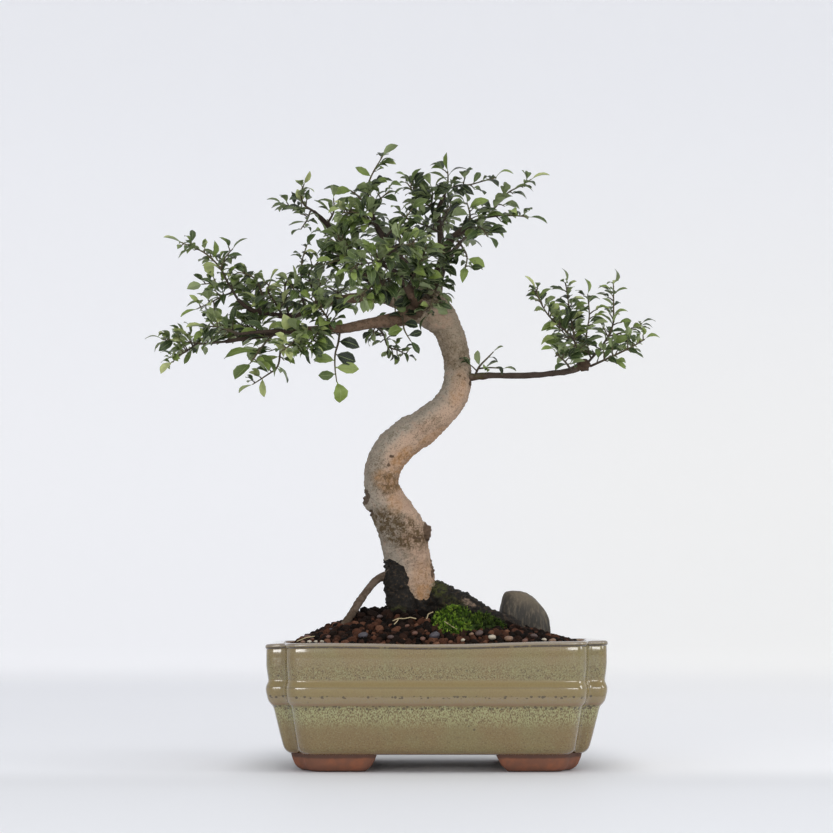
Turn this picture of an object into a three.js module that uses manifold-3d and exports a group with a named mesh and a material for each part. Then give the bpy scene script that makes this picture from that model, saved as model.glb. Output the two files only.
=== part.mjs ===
// Chinese elm bonsai in a glazed rectangular pot with stepped corners.
// Millimetres, +Z up. The front of the tree is seen looking along +Y.
// Built round the middle of the pot, then moved so that the origin is at the
// middle of the underside of the whole object's box.
import * as THREE from 'three';
import { mergeVertices } from 'three/addons/utils/BufferGeometryUtils.js';
import Module from 'manifold-3d';

const wasm = await Module();
wasm.setup();

// Pot
const POT_HALF_LENGTH = 105;
const POT_HALF_WIDTH = 77.5;
const POT_HEIGHT = 78.5;
const CORNER_STEP_X = 13; // how far the end faces stand out past the long faces
const CORNER_STEP_Y = 14; // how far the long faces stand out past the end faces
const STEP_FADE = 0.35; // how much of its inset each corner step loses lower down
const FACE_CORNER_RADIUS = 9;
const END_CORNER_SHARE = 0.5; // corner radius of the end faces, as a share of the step
const INNER_CORNER_SHARE = 0.22;
const FOOT_HEIGHT = 10.5;
const FLOOR_Z = 14;
const RIM_WIDTH = 6.5;
const BEAD_Z = 50; // middle of the belt round the pot
const BEAD_FOOT_Z = 40; // where the belt steps in to the lower body
// Outer profile from the underside up: height, and how far in from the rim line
const POT_PROFILE = [
  [FOOT_HEIGHT, 14.8],
  [12.4, 12.3],
  [15.6, 10.6],
  [37, 5.2],
  [BEAD_FOOT_Z, 4.2],
  [43.5, 1.4],
  [BEAD_Z, 0.4],
  [56, 1.6],
  [POT_HEIGHT - 3.2, 0.7],
  [POT_HEIGHT - 2.6, 0.2],
  [POT_HEIGHT, 0.6],
];
const CAVITY_PROFILE = [
  [FLOOR_Z, 20],
  [20, 15],
  [POT_HEIGHT - 1, RIM_WIDTH],
];
const FOOT_PROFILE = [
  [0, 21.6],
  [2, 18.6],
  [FOOT_HEIGHT, 15.4],
  [FOOT_HEIGHT + 1, 15.2],
];
// Half gaps between the feet, at the table and at the underside of the body
const FOOT_GAP_X = [43, 37];
const FOOT_GAP_Y = [27, 22];

// Drainage
const DRAIN_X = 45;
const DRAIN_RADIUS = 7.5;
const SCREEN_SIZE = 26;
const SCREEN_BAR = 2;
const SCREEN_HOLES = 3; // each way
const SCREEN_THICKNESS = 1.2;
const WIRE_RADIUS = 0.6;
const CLIP_LEG_X = 6.2;
const CLIP_TAB_X = 13;

// Soil
const SOIL_EDGE_Z = 75;
const SOIL_RISE = 22.5;
const SOIL_PEAK_X = -18;
const SOIL_REACH = [75, 115]; // from the crown of the mound to the left and to the right
const SOIL_FALL = [2, 1.7]; // more is flatter near the crown and steeper near the rim
const SOIL_CELL = 10.5; // width of a lump of granules in the relief
const SOIL_ROUGHNESS = 4.6;

// Stone
const STONE_SIZE = [16.5, 12, 22.5];
const STONE_CENTRE = [56.5, 12, 88];
const STONE_SHOULDER = 2.6; // 2 is round, and more is squarer
const STONE_LEAN = 5.2; // how far its top stands to the left

// Moss
const MOSS_X = [-2, 43];
const MOSS_Y = [-56, -14];
const MOSS_RISE = 2.6;
const MOSS_CLUMP = [9, -24, 4.5]; // x, y and height of its tallest clump
const MOSS_CLUMP_REACH = 9;

const GAP = 0.3; // clearance between pieces that touch
const WOOD_GAP = 0.36; // the same on the many-sided wood, measured at its corners

// Finishes
const FINISHES = {
  glaze: { color: 0x8f8a63, roughness: 0.16, metalness: 0 },
  soil: { color: 0x5d3b2f, roughness: 0.95, metalness: 0 },
  bark: { color: 0x94806f, roughness: 0.85, metalness: 0 },
  stone: { color: 0x63594e, roughness: 0.8, metalness: 0 },
  moss: { color: 0x4f8a1c, roughness: 0.95, metalness: 0 },
  screen: { color: 0x1c1d1e, roughness: 0.6, metalness: 0 },
  wire: { color: 0xb4b5b8, roughness: 0.4, metalness: 1 },
  leaf: { color: 0x45673a, roughness: 0.55, metalness: 0 },
  youngLeaf: { color: 0x7c9a50, roughness: 0.5, metalness: 0 },
};

// Wood: each point is x, y, z and the radius there
const TRUNK = [
  [-14, 4, 44, 12], [-14, 4, 66, 17], [-15, 4, 84, 16.5], [-15, 4, 105, 15], [-16, 3, 121, 14.2],
  [-19, 1, 137, 14.6], [-23, -2, 152, 14.6], [-31, -4, 167, 12.4], [-35, -6, 180, 11.2],
  [-32, -6, 193, 11.8], [-22, -5, 206, 12], [-6, -3, 217, 10.9], [5.8, 0, 227.6, 9.5],
  [12.3, 3, 237.5, 9.2], [14.6, 5, 249, 8.9], [13, 6, 263, 8.6], [10, 5, 274, 9],
  [5, 3, 284, 10.2], [-5, 0, 292, 11.8], [-15, -1, 296, 10], [-24, 0, 298, 6.5],
  [-33, 2, 300, 4.6],
];
const LIMBS = {
  lowLeft: [
    [-14, -2, 288, 6.5], [-25, -8, 284, 5], [-41, -14, 281, 3.6], [-58, -18, 277, 3.1],
    [-75, -20, 276, 2.7], [-93, -20, 275, 2], [-113, -18, 272, 1.5], [-134, -15, 269, 1.2],
  ],
  lowLeftTwig: [[-91, -20, 275, 1.7], [-110, -26, 274, 1.2], [-124, -31, 272, 0.9]],
  left: [
    [-31, 2, 300, 4.6], [-49, 6, 300, 3.5], [-65, 10, 298, 2.9], [-80, 10, 294, 2.4],
    [-94, 6, 288, 2], [-108, 1, 289, 1.6], [-119, -4, 291, 1.4], [-127, -6, 297, 1.2],
  ],
  crownLeft: [
    [-20, 2, 298, 5.5], [-31, 8, 306, 4.2], [-41, 13, 313, 3.6], [-54, 16, 320, 2.9],
    [-60, 16, 331, 2.3], [-64, 13, 341, 2], [-72, 8, 350, 1.6], [-79, 4, 356, 1.2],
  ],
  top: [
    [-7, 2, 297, 5], [-13, 8, 312, 3.6], [-22, 10, 324, 3], [-31, 8, 335, 2.3],
    [-38, 3, 346, 1.7], [-42, 0, 356, 1.2],
  ],
  right: [
    [-2, 2, 298, 5.5], [2, 5, 315, 3.8], [6, 5, 328, 3.2], [10, 1, 337, 2.6],
    [17, -4, 342, 2.1], [25, -7, 347, 1.7], [32, -9, 350, 1.3],
  ],
  crownRight: [[5, 5, 324, 3], [3, 10, 343, 2.1], [2, 9, 358, 1.6], [6, 7, 367, 1.2]],
  back: [[-11, 6, 300, 4.5], [-14, 26, 317, 2.8], [-21, 42, 330, 1.6]],
  backRight: [[3, 5, 319, 3], [11, 26, 332, 2], [17, 42, 342, 1.3]],
  front: [[-11, -8, 294, 4.5], [-18, -27, 302, 2.6], [-25, -42, 309, 1.7], [-33, -53, 313, 1.2]],
  branch: [
    [12, 5, 248, 4.4], [25, 1, 248, 2.6], [36, -3, 248.5, 2], [54, -6, 248, 1.9],
    [72, -7, 249, 1.8], [86, -7, 251, 2], [94, -7, 255, 2.6],
  ],
};
const ROOTS = {
  freeLeft: [
    [-22, 0, 123, 3.2], [-32, -6, 120, 2.9], [-38, -11, 117, 2.6], [-44, -16, 110, 2.6],
    [-50, -20, 101, 2.7], [-55, -24, 93, 2.6], [-61, -28, 85, 2.5], [-68, -31, 76, 1.8],
  ],
  ridgeRight: [
    [-10, 4, 108, 9], [1, -1, 107, 9.6], [8, -4, 104, 8.5], [15.5, -6, 102, 7.9], [22, -8, 99.3, 6.7],
    [28.5, -9, 96, 5.6], [35, -10, 94, 4.8], [41, -11, 91.5, 4.7], [48, -12, 89, 4.6], [57, -12, 84, 3],
  ],
  buttressLeft: [
    [-24, -7, 125, 4.5], [-25, -9, 117, 7.6], [-23.5, -11, 108, 8], [-22, -13, 96, 8],
    [-24, -16, 84, 9], [-27, -20, 70, 6], [-33, -25, 56, 3.5],
  ],
  buriedBack: [[-14, 6, 70, 8], [-10, 24, 62, 5.5], [-2, 40, 52, 3]],
  buriedRight: [[-10, 4, 62, 8], [12, 8, 52, 5], [36, 14, 42, 3]],
  buriedLeft: [[-18, 4, 62, 8], [-38, 10, 52, 5], [-60, 14, 42, 3]],
};
// Old swellings on the trunk and at the end of the branch: centre, radius
const BURRS = [
  [-9.5, -3, 147.5, 6.8],
  [-40, -5, 167.5, 6.6],
  [1, -1, 286, 9.6],
  [95, -7, 255, 4],
];

// Leaf planes: up for shoots that spread, front for shoots that stand or hang
const FACES = {
  up: new THREE.Vector3(0, -0.35, 1),
  tilted: new THREE.Vector3(0, -0.8, 0.8),
  front: new THREE.Vector3(0.1, -1, 0.35),
};
// Leafy shoots: plane of the leaves, leaf length, spacing along the stem, and the stems.
// The first stem leaves a limb, and the others leave the first.
const SPRAYS = {
  low_left_tip: {
    face: 'tilted', leaf: 11.5, spacing: 6.5,
    stems: [
      [[-134, -15, 269], [-147, -13, 268], [-160, -10, 269], [-175, -8, 271]],
      [[-153, -12, 268], [-158, -17, 263], [-164, -20, 259], [-167, -22, 255]],
    ],
  },
  low_left_round: {
    face: 'front', leaf: 13, spacing: 7,
    stems: [
      [[-124, -31, 272], [-131, -34, 274], [-138, -36, 276], [-145, -38, 276]],
    ],
  },
  low_left_up: {
    face: 'front', leaf: 12.5, spacing: 7,
    stems: [
      [[-125, -16, 270.5], [-131, -9, 277], [-139, -3, 282]],
    ],
  },
  low_left_long: {
    face: 'front', leaf: 18, spacing: 9,
    stems: [
      [[-102, -20, 274], [-108, -26, 267], [-114, -31, 258], [-117, -34, 253]],
    ],
  },
  low_left_hang: {
    face: 'front', leaf: 11.5, spacing: 7,
    stems: [
      [[-97, -20, 275], [-99, -16, 263], [-101, -14, 253], [-109, -12, 247], [-117, -10, 242]],
    ],
  },
  low_left_back: {
    face: 'tilted', leaf: 12.5, spacing: 7,
    stems: [
      [[-111, -18, 273], [-116, -4, 278], [-125, 9, 282], [-135, 18, 282]],
    ],
  },
  low_left_front: {
    face: 'front', leaf: 12.5, spacing: 7,
    stems: [
      [[-84, -20, 275], [-88, -36, 268], [-92, -50, 262], [-96, -60, 258]],
    ],
  },
  low_hanging: {
    face: 'front', leaf: 12.5, spacing: 8,
    stems: [
      [[-61, -18, 277], [-62, -20, 268], [-64, -21, 260], [-64, -21, 251], [-63, -20, 243]],
    ],
  },
  low_side: {
    face: 'front', leaf: 11.5, spacing: 7,
    stems: [
      [[-74, -20, 276], [-78, -31, 268], [-82, -38, 262], [-86, -43, 260]],
    ],
  },
  low_top: {
    face: 'front', leaf: 13, spacing: 7,
    stems: [
      [[-66, -19, 277], [-69, -30, 283], [-74, -38, 289], [-79, -44, 293]],
    ],
  },
  mid_hang_back: {
    face: 'front', leaf: 8, spacing: 6,
    stems: [
      [[-41, -13, 281], [-34, 10, 277], [-31, 22, 270], [-24, 29, 268], [-18, 34, 265]],
    ],
  },
  mid_hang_light: {
    face: 'front', leaf: 9, spacing: 7,
    stems: [
      [[-22, -4, 293], [-21, -14, 283], [-20, -18, 276], [-16, -18, 269]],
    ],
  },
  left_tip: {
    face: 'tilted', leaf: 12, spacing: 7,
    stems: [
      [[-127, -6, 297], [-133, -8, 307], [-139, -10, 318], [-149, -12, 327], [-163, -14, 333]],
      [[-138, -10, 316], [-136, -4, 324], [-131, 0, 331]],
      [[-133, -8, 306], [-142, -3, 308], [-151, 1, 308]],
      [[-130, -7, 302], [-137, -13, 298], [-145, -18, 293], [-152, -22, 289]],
    ],
  },
  left_arch: {
    face: 'front', leaf: 11.5, spacing: 7,
    stems: [
      [[-108, 1, 289], [-111, -4, 299], [-115, -8, 309], [-121, -10, 313], [-127, -12, 314]],
    ],
  },
  left_back: {
    face: 'tilted', leaf: 13, spacing: 7,
    stems: [
      [[-112, 0, 289], [-118, 12, 298], [-124, 20, 305], [-128, 26, 312]],
    ],
  },
  left_mass: {
    face: 'front', leaf: 13, spacing: 7,
    stems: [
      [[-99, 4, 288], [-103, -8, 295], [-107, -18, 301], [-105, -24, 307]],
    ],
  },
  left_curl: {
    face: 'front', leaf: 9.5, spacing: 6,
    stems: [
      [[-95, 6, 288], [-97, 4, 299], [-97, 2, 308], [-93, 0, 313], [-88, -2, 312]],
    ],
  },
  left_mid: {
    face: 'front', leaf: 13, spacing: 7,
    stems: [
      [[-80, 10, 294], [-76, 0, 300], [-74, -8, 308]],
      [[-79, 6, 296], [-86, -6, 298], [-91, -14, 303], [-94, -20, 307]],
    ],
  },
  left_far_back: {
    face: 'up', leaf: 12.5, spacing: 7,
    stems: [
      [[-91, 8, 290], [-93, 30, 297], [-97, 48, 303], [-101, 62, 308]],
    ],
  },
  inner_far_back: {
    face: 'up', leaf: 12.5, spacing: 7,
    stems: [
      [[-62, 9, 299], [-66, 30, 307], [-73, 50, 314], [-79, 66, 320]],
    ],
  },
  left_upright: {
    face: 'front', leaf: 9.5, spacing: 6,
    stems: [
      [[-84, 10, 293], [-87, 8, 302], [-87, 4, 314], [-86, 0, 324], [-83, -2, 333]],
    ],
  },
  left_slender: {
    face: 'front', leaf: 9, spacing: 6,
    stems: [
      [[-76, 10, 295], [-81, 12, 309], [-82, 10, 317], [-76, 8, 324], [-72, 6, 333]],
    ],
  },
  crown_left_tip: {
    face: 'tilted', leaf: 10.5, spacing: 6.5,
    stems: [
      [[-79, 4, 356], [-85, 2, 360], [-87, 0, 366], [-85, -2, 373]],
      [[-82, 3, 358], [-88, 10, 359], [-94, 16, 361], [-101, 20, 364]],
      [[-81, 4, 357], [-83, 0, 350], [-87, -4, 343]],
    ],
  },
  crown_left_up: {
    face: 'front', leaf: 12.5, spacing: 7,
    stems: [
      [[-70, 8, 349], [-66, 4, 356], [-66, 0, 364]],
    ],
  },
  crown_left_front: {
    face: 'front', leaf: 13, spacing: 7,
    stems: [
      [[-52, 15, 319], [-58, 0, 322], [-63, -10, 322], [-69, -18, 318]],
      [[-58, 0, 322], [-64, 3, 327], [-70, 3, 325], [-73, 0, 318]],
    ],
  },
  crown_left_back: {
    face: 'up', leaf: 12.5, spacing: 7,
    stems: [
      [[-59, 16, 330], [-64, 36, 339], [-70, 54, 346], [-76, 68, 353]],
    ],
  },
  crown_inner: {
    face: 'front', leaf: 14, spacing: 8,
    stems: [
      [[-54, 16, 321], [-54, 4, 327], [-58, -6, 332], [-63, -12, 336]],
    ],
  },
  top_tip: {
    face: 'front', leaf: 12.5, spacing: 7,
    stems: [
      [[-42, 0, 356], [-44, -2, 369], [-41, -3, 379], [-34, -4, 391]],
      [[-42, -1, 360], [-36, -8, 362], [-30, -14, 366]],
    ],
  },
  top_left: {
    face: 'tilted', leaf: 13, spacing: 7,
    stems: [
      [[-40, 1, 353], [-47, 6, 363], [-54, 10, 370], [-61, 12, 373]],
    ],
  },
  top_mid_left: {
    face: 'tilted', leaf: 13, spacing: 7,
    stems: [
      [[-37, 4, 345], [-45, -8, 350], [-52, -16, 352], [-59, -22, 351]],
    ],
  },
  top_mid_right: {
    face: 'front', leaf: 12.5, spacing: 7,
    stems: [
      [[-33, 6, 339], [-26, -6, 344], [-20, -14, 348], [-15, -20, 354]],
    ],
  },
  top_back: {
    face: 'up', leaf: 12.5, spacing: 7,
    stems: [
      [[-35, 5, 342], [-39, 26, 351], [-43, 44, 359], [-48, 58, 365]],
    ],
  },
  front_tip: {
    face: 'front', leaf: 13, spacing: 7,
    stems: [
      [[-33, -53, 313], [-27, -57, 322], [-20, -60, 324], [-13, -62, 325]],
      [[-31, -54, 316], [-39, -62, 313], [-47, -68, 311], [-53, -72, 307]],
    ],
  },
  front_right: {
    face: 'front', leaf: 13, spacing: 7,
    stems: [
      [[-18, -27, 302], [-13, -40, 310], [-9, -48, 317], [-6, -54, 325]],
    ],
  },
  front_low: {
    face: 'front', leaf: 12.5, spacing: 7,
    stems: [
      [[-25, -41, 308], [-31, -50, 304], [-39, -58, 299], [-47, -62, 293]],
    ],
  },
  back_tip: {
    face: 'up', leaf: 12.5, spacing: 7,
    stems: [
      [[-21, 42, 330], [-28, 56, 341], [-33, 66, 348], [-40, 76, 354]],
      [[-22, 45, 333], [-17, 54, 341], [-11, 62, 349], [-5, 68, 355]],
    ],
  },
  crown_right_tip: {
    face: 'tilted', leaf: 12.5, spacing: 6.5,
    stems: [
      [[6, 7, 367], [8, 4, 375], [8, 2, 382]],
      [[8, 6, 371], [15, 3, 373], [22, 1, 373], [30, 0, 375], [39, -2, 377]],
    ],
  },
  crown_right_left: {
    face: 'front', leaf: 14, spacing: 7.5,
    stems: [
      [[2, 9, 355], [-5, 2, 360], [-12, -4, 365], [-18, -8, 372]],
      [[-3, 4, 359], [-2, -4, 365], [-3, -10, 370]],
    ],
  },
  crown_right_low: {
    face: 'tilted', leaf: 12.5, spacing: 7,
    stems: [
      [[3, 9, 343], [-6, 0, 346], [-15, -8, 348], [-22, -14, 351]],
    ],
  },
  crown_right_back: {
    face: 'up', leaf: 12.5, spacing: 7,
    stems: [
      [[4, 10, 348], [7, 30, 358], [11, 48, 367]],
    ],
  },
  right_tip: {
    face: 'up', leaf: 12.5, spacing: 7,
    stems: [
      [[32, -9, 350], [41, -10, 351], [51, -10, 351], [60, -10, 350]],
      [[34, -9, 351], [41, -6, 360], [47, -4, 367], [54, -3, 371], [62, -2, 376]],
    ],
  },
  right_leafy: {
    face: 'front', leaf: 12.5, spacing: 7,
    stems: [
      [[22, -6, 345], [22, -14, 351], [20, -18, 358]],
    ],
  },
  right_hang: {
    face: 'front', leaf: 13, spacing: 8,
    stems: [
      [[26, -8, 347], [30, -18, 341], [33, -24, 335]],
    ],
  },
  right_low: {
    face: 'front', leaf: 12.5, spacing: 7,
    stems: [
      [[13, -1, 338], [17, -9, 331], [20, -13, 324], [19, -15, 316]],
    ],
  },
  right_back: {
    face: 'up', leaf: 12.5, spacing: 7,
    stems: [
      [[17, 42, 342], [24, 54, 349], [30, 66, 355]],
    ],
  },
  right_drop: {
    face: 'front', leaf: 11.5, spacing: 7,
    stems: [
      [[4, 4, 326], [4, -4, 317], [1, -11, 305], [-2, -14, 296], [-5, -15, 286]],
    ],
  },
  branch_near: {
    face: 'front', leaf: 9, spacing: 5.5,
    stems: [
      [[25, 1, 248], [28, -4, 254], [33, -8, 259], [37, -10, 263]],
      [[28, -3, 253], [35, -8, 253], [43, -12, 252]],
    ],
  },
  branch_fan_left: {
    face: 'front', leaf: 10.5, spacing: 6.5,
    stems: [
      [[91, -7, 256], [89, -11, 269], [86, -14, 286], [83, -16, 306]],
      [[89, -11, 270], [81, -18, 277], [72, -24, 284], [66, -28, 293], [63, -30, 301]],
      [[90, -9, 262], [88, 10, 270], [85, 24, 278], [80, 34, 285]],
    ],
  },
  branch_fan_right: {
    face: 'front', leaf: 10.5, spacing: 6.5,
    stems: [
      [[98, -6, 257], [108, 6, 269], [115, 12, 282], [116, 14, 297], [116, 14, 310]],
      [[99, -5, 259], [97, -3, 274], [99, -2, 287], [98, -2, 301]],
      [[111, 10, 275], [120, 18, 278], [129, 22, 282], [135, 24, 285]],
    ],
  },
  branch_fan_out: {
    face: 'tilted', leaf: 9.5, spacing: 6.5,
    stems: [
      [[99, -7, 254], [111, -13, 259], [124, -17, 265], [133, -19, 270]],
    ],
  },
  branch_low: {
    face: 'front', leaf: 13, spacing: 8,
    stems: [
      [[87, -8, 251], [82, -18, 256], [76, -25, 260]],
    ],
  },
};

// Leaves
const BLADE_THICKNESS = 0.62;
const BLADE_HALF_WIDTH = 0.23; // as a share of the length
const BLADE_ARCH = 0.16; // how far the middle stands over the ends, as a share of the length
// A blade's two widths: share of the length, share of the half width; then it ends in its tip
const BLADE_WIDTHS = [[0.36, 1], [0.74, 0.78]];
const BLADE_START = 0.12; // where a blade is clear of its stem, as a share of the length
const LEAF_ANGLE = 0.95; // radians between stem and leaf
const LEAF_TURNS = [0, 0.4, -0.4, 0.8, -0.8]; // ways a leaf bends clear of another, in radians
const STALK_HALF_WIDTH = 0.45;
const FREE_STEM = 2; // a bend nearer than this to a leaf is made at the leaf
const STEM_RADIUS = [1, 0.66]; // where it starts and at its tip, out to its three corners
const FIRST_LEAF_AT = 9; // from the heart of the limb that a stem leaves
const FIRST_SIDE_LEAF_AT = 5; // from the stem that a side stem leaves

// Seeded random numbers from 0 to 1
function seededDraw(seed) {
  let state = seed >>> 0;
  return () => {
    state = (state + 0x6d2b79f5) >>> 0;
    let mixed = Math.imul(state ^ (state >>> 15), state | 1);
    mixed ^= mixed + Math.imul(mixed ^ (mixed >>> 7), mixed | 61);
    return ((mixed ^ (mixed >>> 14)) >>> 0) / 4294967296;
  };
}

// A closed skin over rings of points, each ring counter-clockwise seen from the last one
function loft(rings) {
  const count = rings[0].length;
  const positions = rings.flat().flatMap((point) => [point.x, point.y, point.z]);
  const index = [];
  for (let level = 0; level < rings.length - 1; level += 1) {
    for (let side = 0; side < count; side += 1) {
      const next = (side + 1) % count;
      const low = level * count;
      const high = low + count;
      index.push(low + side, low + next, high + next);
      index.push(low + side, high + next, high + side);
    }
  }
  const top = (rings.length - 1) * count;
  for (const [a, b, c] of capTriangles(rings[0])) {
    index.push(a, c, b);
  }
  for (const [a, b, c] of capTriangles(rings[rings.length - 1])) {
    index.push(top + a, top + b, top + c);
  }
  const geometry = new THREE.BufferGeometry();
  geometry.setAttribute('position', new THREE.Float32BufferAttribute(positions, 3));
  geometry.setIndex(index);
  return geometry;
}

// Level rings can be stepped in, so they are cut by their outline, and the others are fans
function capTriangles(ring) {
  const level = ring.every((point) => Math.abs(point.z - ring[0].z) < 1e-9);
  if (level && ring.length > 12) {
    return THREE.ShapeUtils.triangulateShape(ring.map((p) => new THREE.Vector2(p.x, p.y)), []);
  }
  return ring.slice(2).map((point, i) => [0, i + 1, i + 2]);
}

function solid(geometry) {
  const bare = new THREE.BufferGeometry();
  bare.setAttribute('position', geometry.getAttribute('position'));
  bare.setIndex(geometry.index);
  const merged = mergeVertices(bare, 1e-5);
  return new wasm.Manifold(new wasm.Mesh({
    numProp: 3,
    vertProperties: new Float32Array(merged.getAttribute('position').array),
    triVerts: new Uint32Array(merged.index.array),
  }));
}

function union(solids) {
  return solids.reduce((whole, piece) => whole.add(piece));
}

function largestPiece(whole) {
  const pieces = whole.decompose();
  return pieces.reduce((best, piece) => (piece.volume() > best.volume() ? piece : best));
}

function geometryOf(whole) {
  const mesh = whole.getMesh();
  const geometry = new THREE.BufferGeometry();
  geometry.setAttribute('position', new THREE.Float32BufferAttribute(mesh.vertProperties, 3));
  geometry.setIndex(new THREE.Uint32BufferAttribute(mesh.triVerts, 1));
  geometry.computeVertexNormals();
  return geometry;
}

function boxOf(whole) {
  const { min, max } = whole.boundingBox();
  return new THREE.Box3(new THREE.Vector3(...min), new THREE.Vector3(...max));
}

function named(name, whole, finish) {
  const mesh = new THREE.Mesh(geometryOf(whole), new THREE.MeshStandardMaterial(FINISHES[finish]));
  mesh.name = name;
  return mesh;
}

// Pot outline at one height: long faces that stand out past stepped corners
function potRing(inset, z) {
  const halfLength = POT_HALF_LENGTH - inset;
  const halfWidth = POT_HALF_WIDTH - inset;
  const step = CORNER_STEP_X - STEP_FADE * inset;
  const stepX = halfLength - step;
  const stepY = halfWidth - CORNER_STEP_Y;
  const quarter = [
    ...roundCorner(halfLength, stepY, END_CORNER_SHARE * step),
    [stepX + INNER_CORNER_SHARE * step, stepY],
    [stepX, stepY + INNER_CORNER_SHARE * step],
    ...roundCorner(stepX, halfWidth, FACE_CORNER_RADIUS),
  ];
  const mirrored = [...quarter].reverse();
  return [
    ...quarter,
    ...mirrored.map(([x, y]) => [-x, y]),
    ...quarter.map(([x, y]) => [-x, -y]),
    ...mirrored.map(([x, y]) => [x, -y]),
  ].map(([x, y]) => new THREE.Vector3(x, y, z));
}

function roundCorner(cornerX, cornerY, radius) {
  return [0, Math.PI / 4, Math.PI / 2].map((angle) => [
    cornerX - radius * (1 - Math.cos(angle)),
    cornerY - radius * (1 - Math.sin(angle)),
  ]);
}

function potLoft(profile, extra = 0) {
  return solid(loft(profile.map(([z, inset]) => potRing(inset + extra, z))));
}

// A bar along Y with an upright outline of x and z
function barAlongY(outline, length) {
  const shape = new THREE.Shape(outline.map(([x, z]) => new THREE.Vector2(x, z)));
  const geometry = new THREE.ExtrudeGeometry(shape, { depth: length, bevelEnabled: false });
  geometry.translate(0, 0, -length / 2);
  geometry.rotateX(Math.PI / 2);
  return geometry;
}

function footGap([low, high]) {
  const outline = [[-low, -1], [low, -1], [high, FOOT_HEIGHT], [-high, FOOT_HEIGHT]];
  return barAlongY(outline, 2 * POT_HALF_LENGTH + 20);
}

function drainHole(side) {
  const hole = new THREE.CylinderGeometry(DRAIN_RADIUS, DRAIN_RADIUS, 2 * FLOOR_Z, 12);
  hole.rotateX(Math.PI / 2);
  hole.translate(side * DRAIN_X, 0, FLOOR_Z);
  return solid(hole);
}

function makePot() {
  const gapBetweenFront = solid(footGap(FOOT_GAP_X));
  const gapAtEnds = solid(footGap(FOOT_GAP_Y).rotateZ(Math.PI / 2));
  const feet = potLoft(FOOT_PROFILE).subtract(gapBetweenFront).subtract(gapAtEnds);
  const openTop = [...CAVITY_PROFILE, [POT_HEIGHT + 5, RIM_WIDTH]];
  return potLoft(POT_PROFILE)
    .add(feet)
    .subtract(potLoft(openTop))
    .subtract(drainHole(-1))
    .subtract(drainHole(1));
}

function makeScreen(side) {
  const hole = (SCREEN_SIZE - SCREEN_BAR * (SCREEN_HOLES + 1)) / SCREEN_HOLES;
  const z = FLOOR_Z + GAP + SCREEN_THICKNESS / 2;
  let screen = solid(new THREE.BoxGeometry(SCREEN_SIZE, SCREEN_SIZE, SCREEN_THICKNESS)
    .translate(side * DRAIN_X, 0, z));
  for (let row = 0; row < SCREEN_HOLES; row += 1) {
    for (let column = 0; column < SCREEN_HOLES; column += 1) {
      const x = side * DRAIN_X + (column - (SCREEN_HOLES - 1) / 2) * (hole + SCREEN_BAR);
      const y = (row - (SCREEN_HOLES - 1) / 2) * (hole + SCREEN_BAR);
      const punch = new THREE.BoxGeometry(hole, hole, 2 * SCREEN_THICKNESS).translate(x, y, z);
      screen = screen.subtract(solid(punch));
    }
  }
  return screen;
}

function makeClip(side) {
  const top = FLOOR_Z + GAP + SCREEN_THICKNESS + GAP + WIRE_RADIUS;
  const under = FOOT_HEIGHT - GAP - WIRE_RADIUS;
  const half = [[CLIP_TAB_X, under], [CLIP_LEG_X, under], [CLIP_LEG_X, top]];
  const route = [...half, ...[...half].reverse().map(([x, z]) => [-x, z])];
  const points = route.map(([x, z]) => new THREE.Vector3(side * DRAIN_X + x, 0, z));
  return solid(tube(points, points.map(() => WIRE_RADIUS), 4));
}

// Ring frames carried along a path without twist
function tube(points, radii, sides, flute = () => 1) {
  const tangents = points.map((point, i) => (
    direction(points[Math.max(i - 1, 0)], points[Math.min(i + 1, points.length - 1)])));
  const across = new THREE.Vector3(0, 1, 0).cross(tangents[0]);
  if (across.lengthSq() < 0.05) {
    across.set(1, 0, 0);
  }
  const rings = points.map((point, i) => {
    across.addScaledVector(tangents[i], -across.dot(tangents[i])).normalize();
    const up = new THREE.Vector3().crossVectors(tangents[i], across);
    return Array.from({ length: sides }, (_, side) => {
      const angle = (2 * Math.PI * side) / sides;
      const radius = radii[i] * flute(angle, i);
      return point.clone()
        .addScaledVector(across, radius * Math.cos(angle))
        .addScaledVector(up, radius * Math.sin(angle));
    });
  });
  return loft(rings);
}

// Smooth path through hand-placed points, with the radius carried along it
function smooth(points, stepsPerSpan) {
  const steps = (points.length - 1) * stepsPerSpan;
  const path = points.map(([x, y, z]) => new THREE.Vector3(x, y, z));
  const sizes = points.map(([, , , radius = 0]) => new THREE.Vector3(radius, 0, 0));
  return {
    points: new THREE.CatmullRomCurve3(path, false, 'catmullrom', 0.5).getPoints(steps),
    radii: new THREE.CatmullRomCurve3(sizes, false, 'catmullrom', 0.5).getPoints(steps)
      .map((size) => size.x),
  };
}

function direction(from, to) {
  return new THREE.Vector3().subVectors(to, from).normalize();
}

function limb(points, sides, stepsPerSpan, extra, flute) {
  const path = smooth(points, stepsPerSpan);
  path.points[0].sub(direction(path.points[0], path.points[1]).multiplyScalar(extra));
  path.points.at(-1).add(direction(path.points.at(-2), path.points.at(-1)).multiplyScalar(extra));
  return solid(tube(path.points, path.radii.map((radius) => radius + extra), sides, flute));
}

function trunkFlute(angle, ring) {
  return 1 + 0.035 * Math.sin(3 * angle + 0.7 * ring) + 0.025 * Math.sin(4 * angle - 1.2 * ring);
}

// The whole tree without its shoots; extra makes it thicker, to cut its clearance elsewhere
function makeWood(extra = 0) {
  const burrs = BURRS.map(([x, y, z, radius]) => {
    const ball = new THREE.IcosahedronGeometry(radius + extra, 1);
    return solid(ball.translate(x, y, z));
  });
  const twigs = Object.values(LIMBS).map((points) => limb(points, 5, 1, extra));
  const roots = Object.values(ROOTS).map((points) => limb(points, 6, 1, extra));
  return largestPiece(union([limb(TRUNK, 10, 1, extra, trunkFlute), ...burrs, ...twigs, ...roots]));
}

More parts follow.
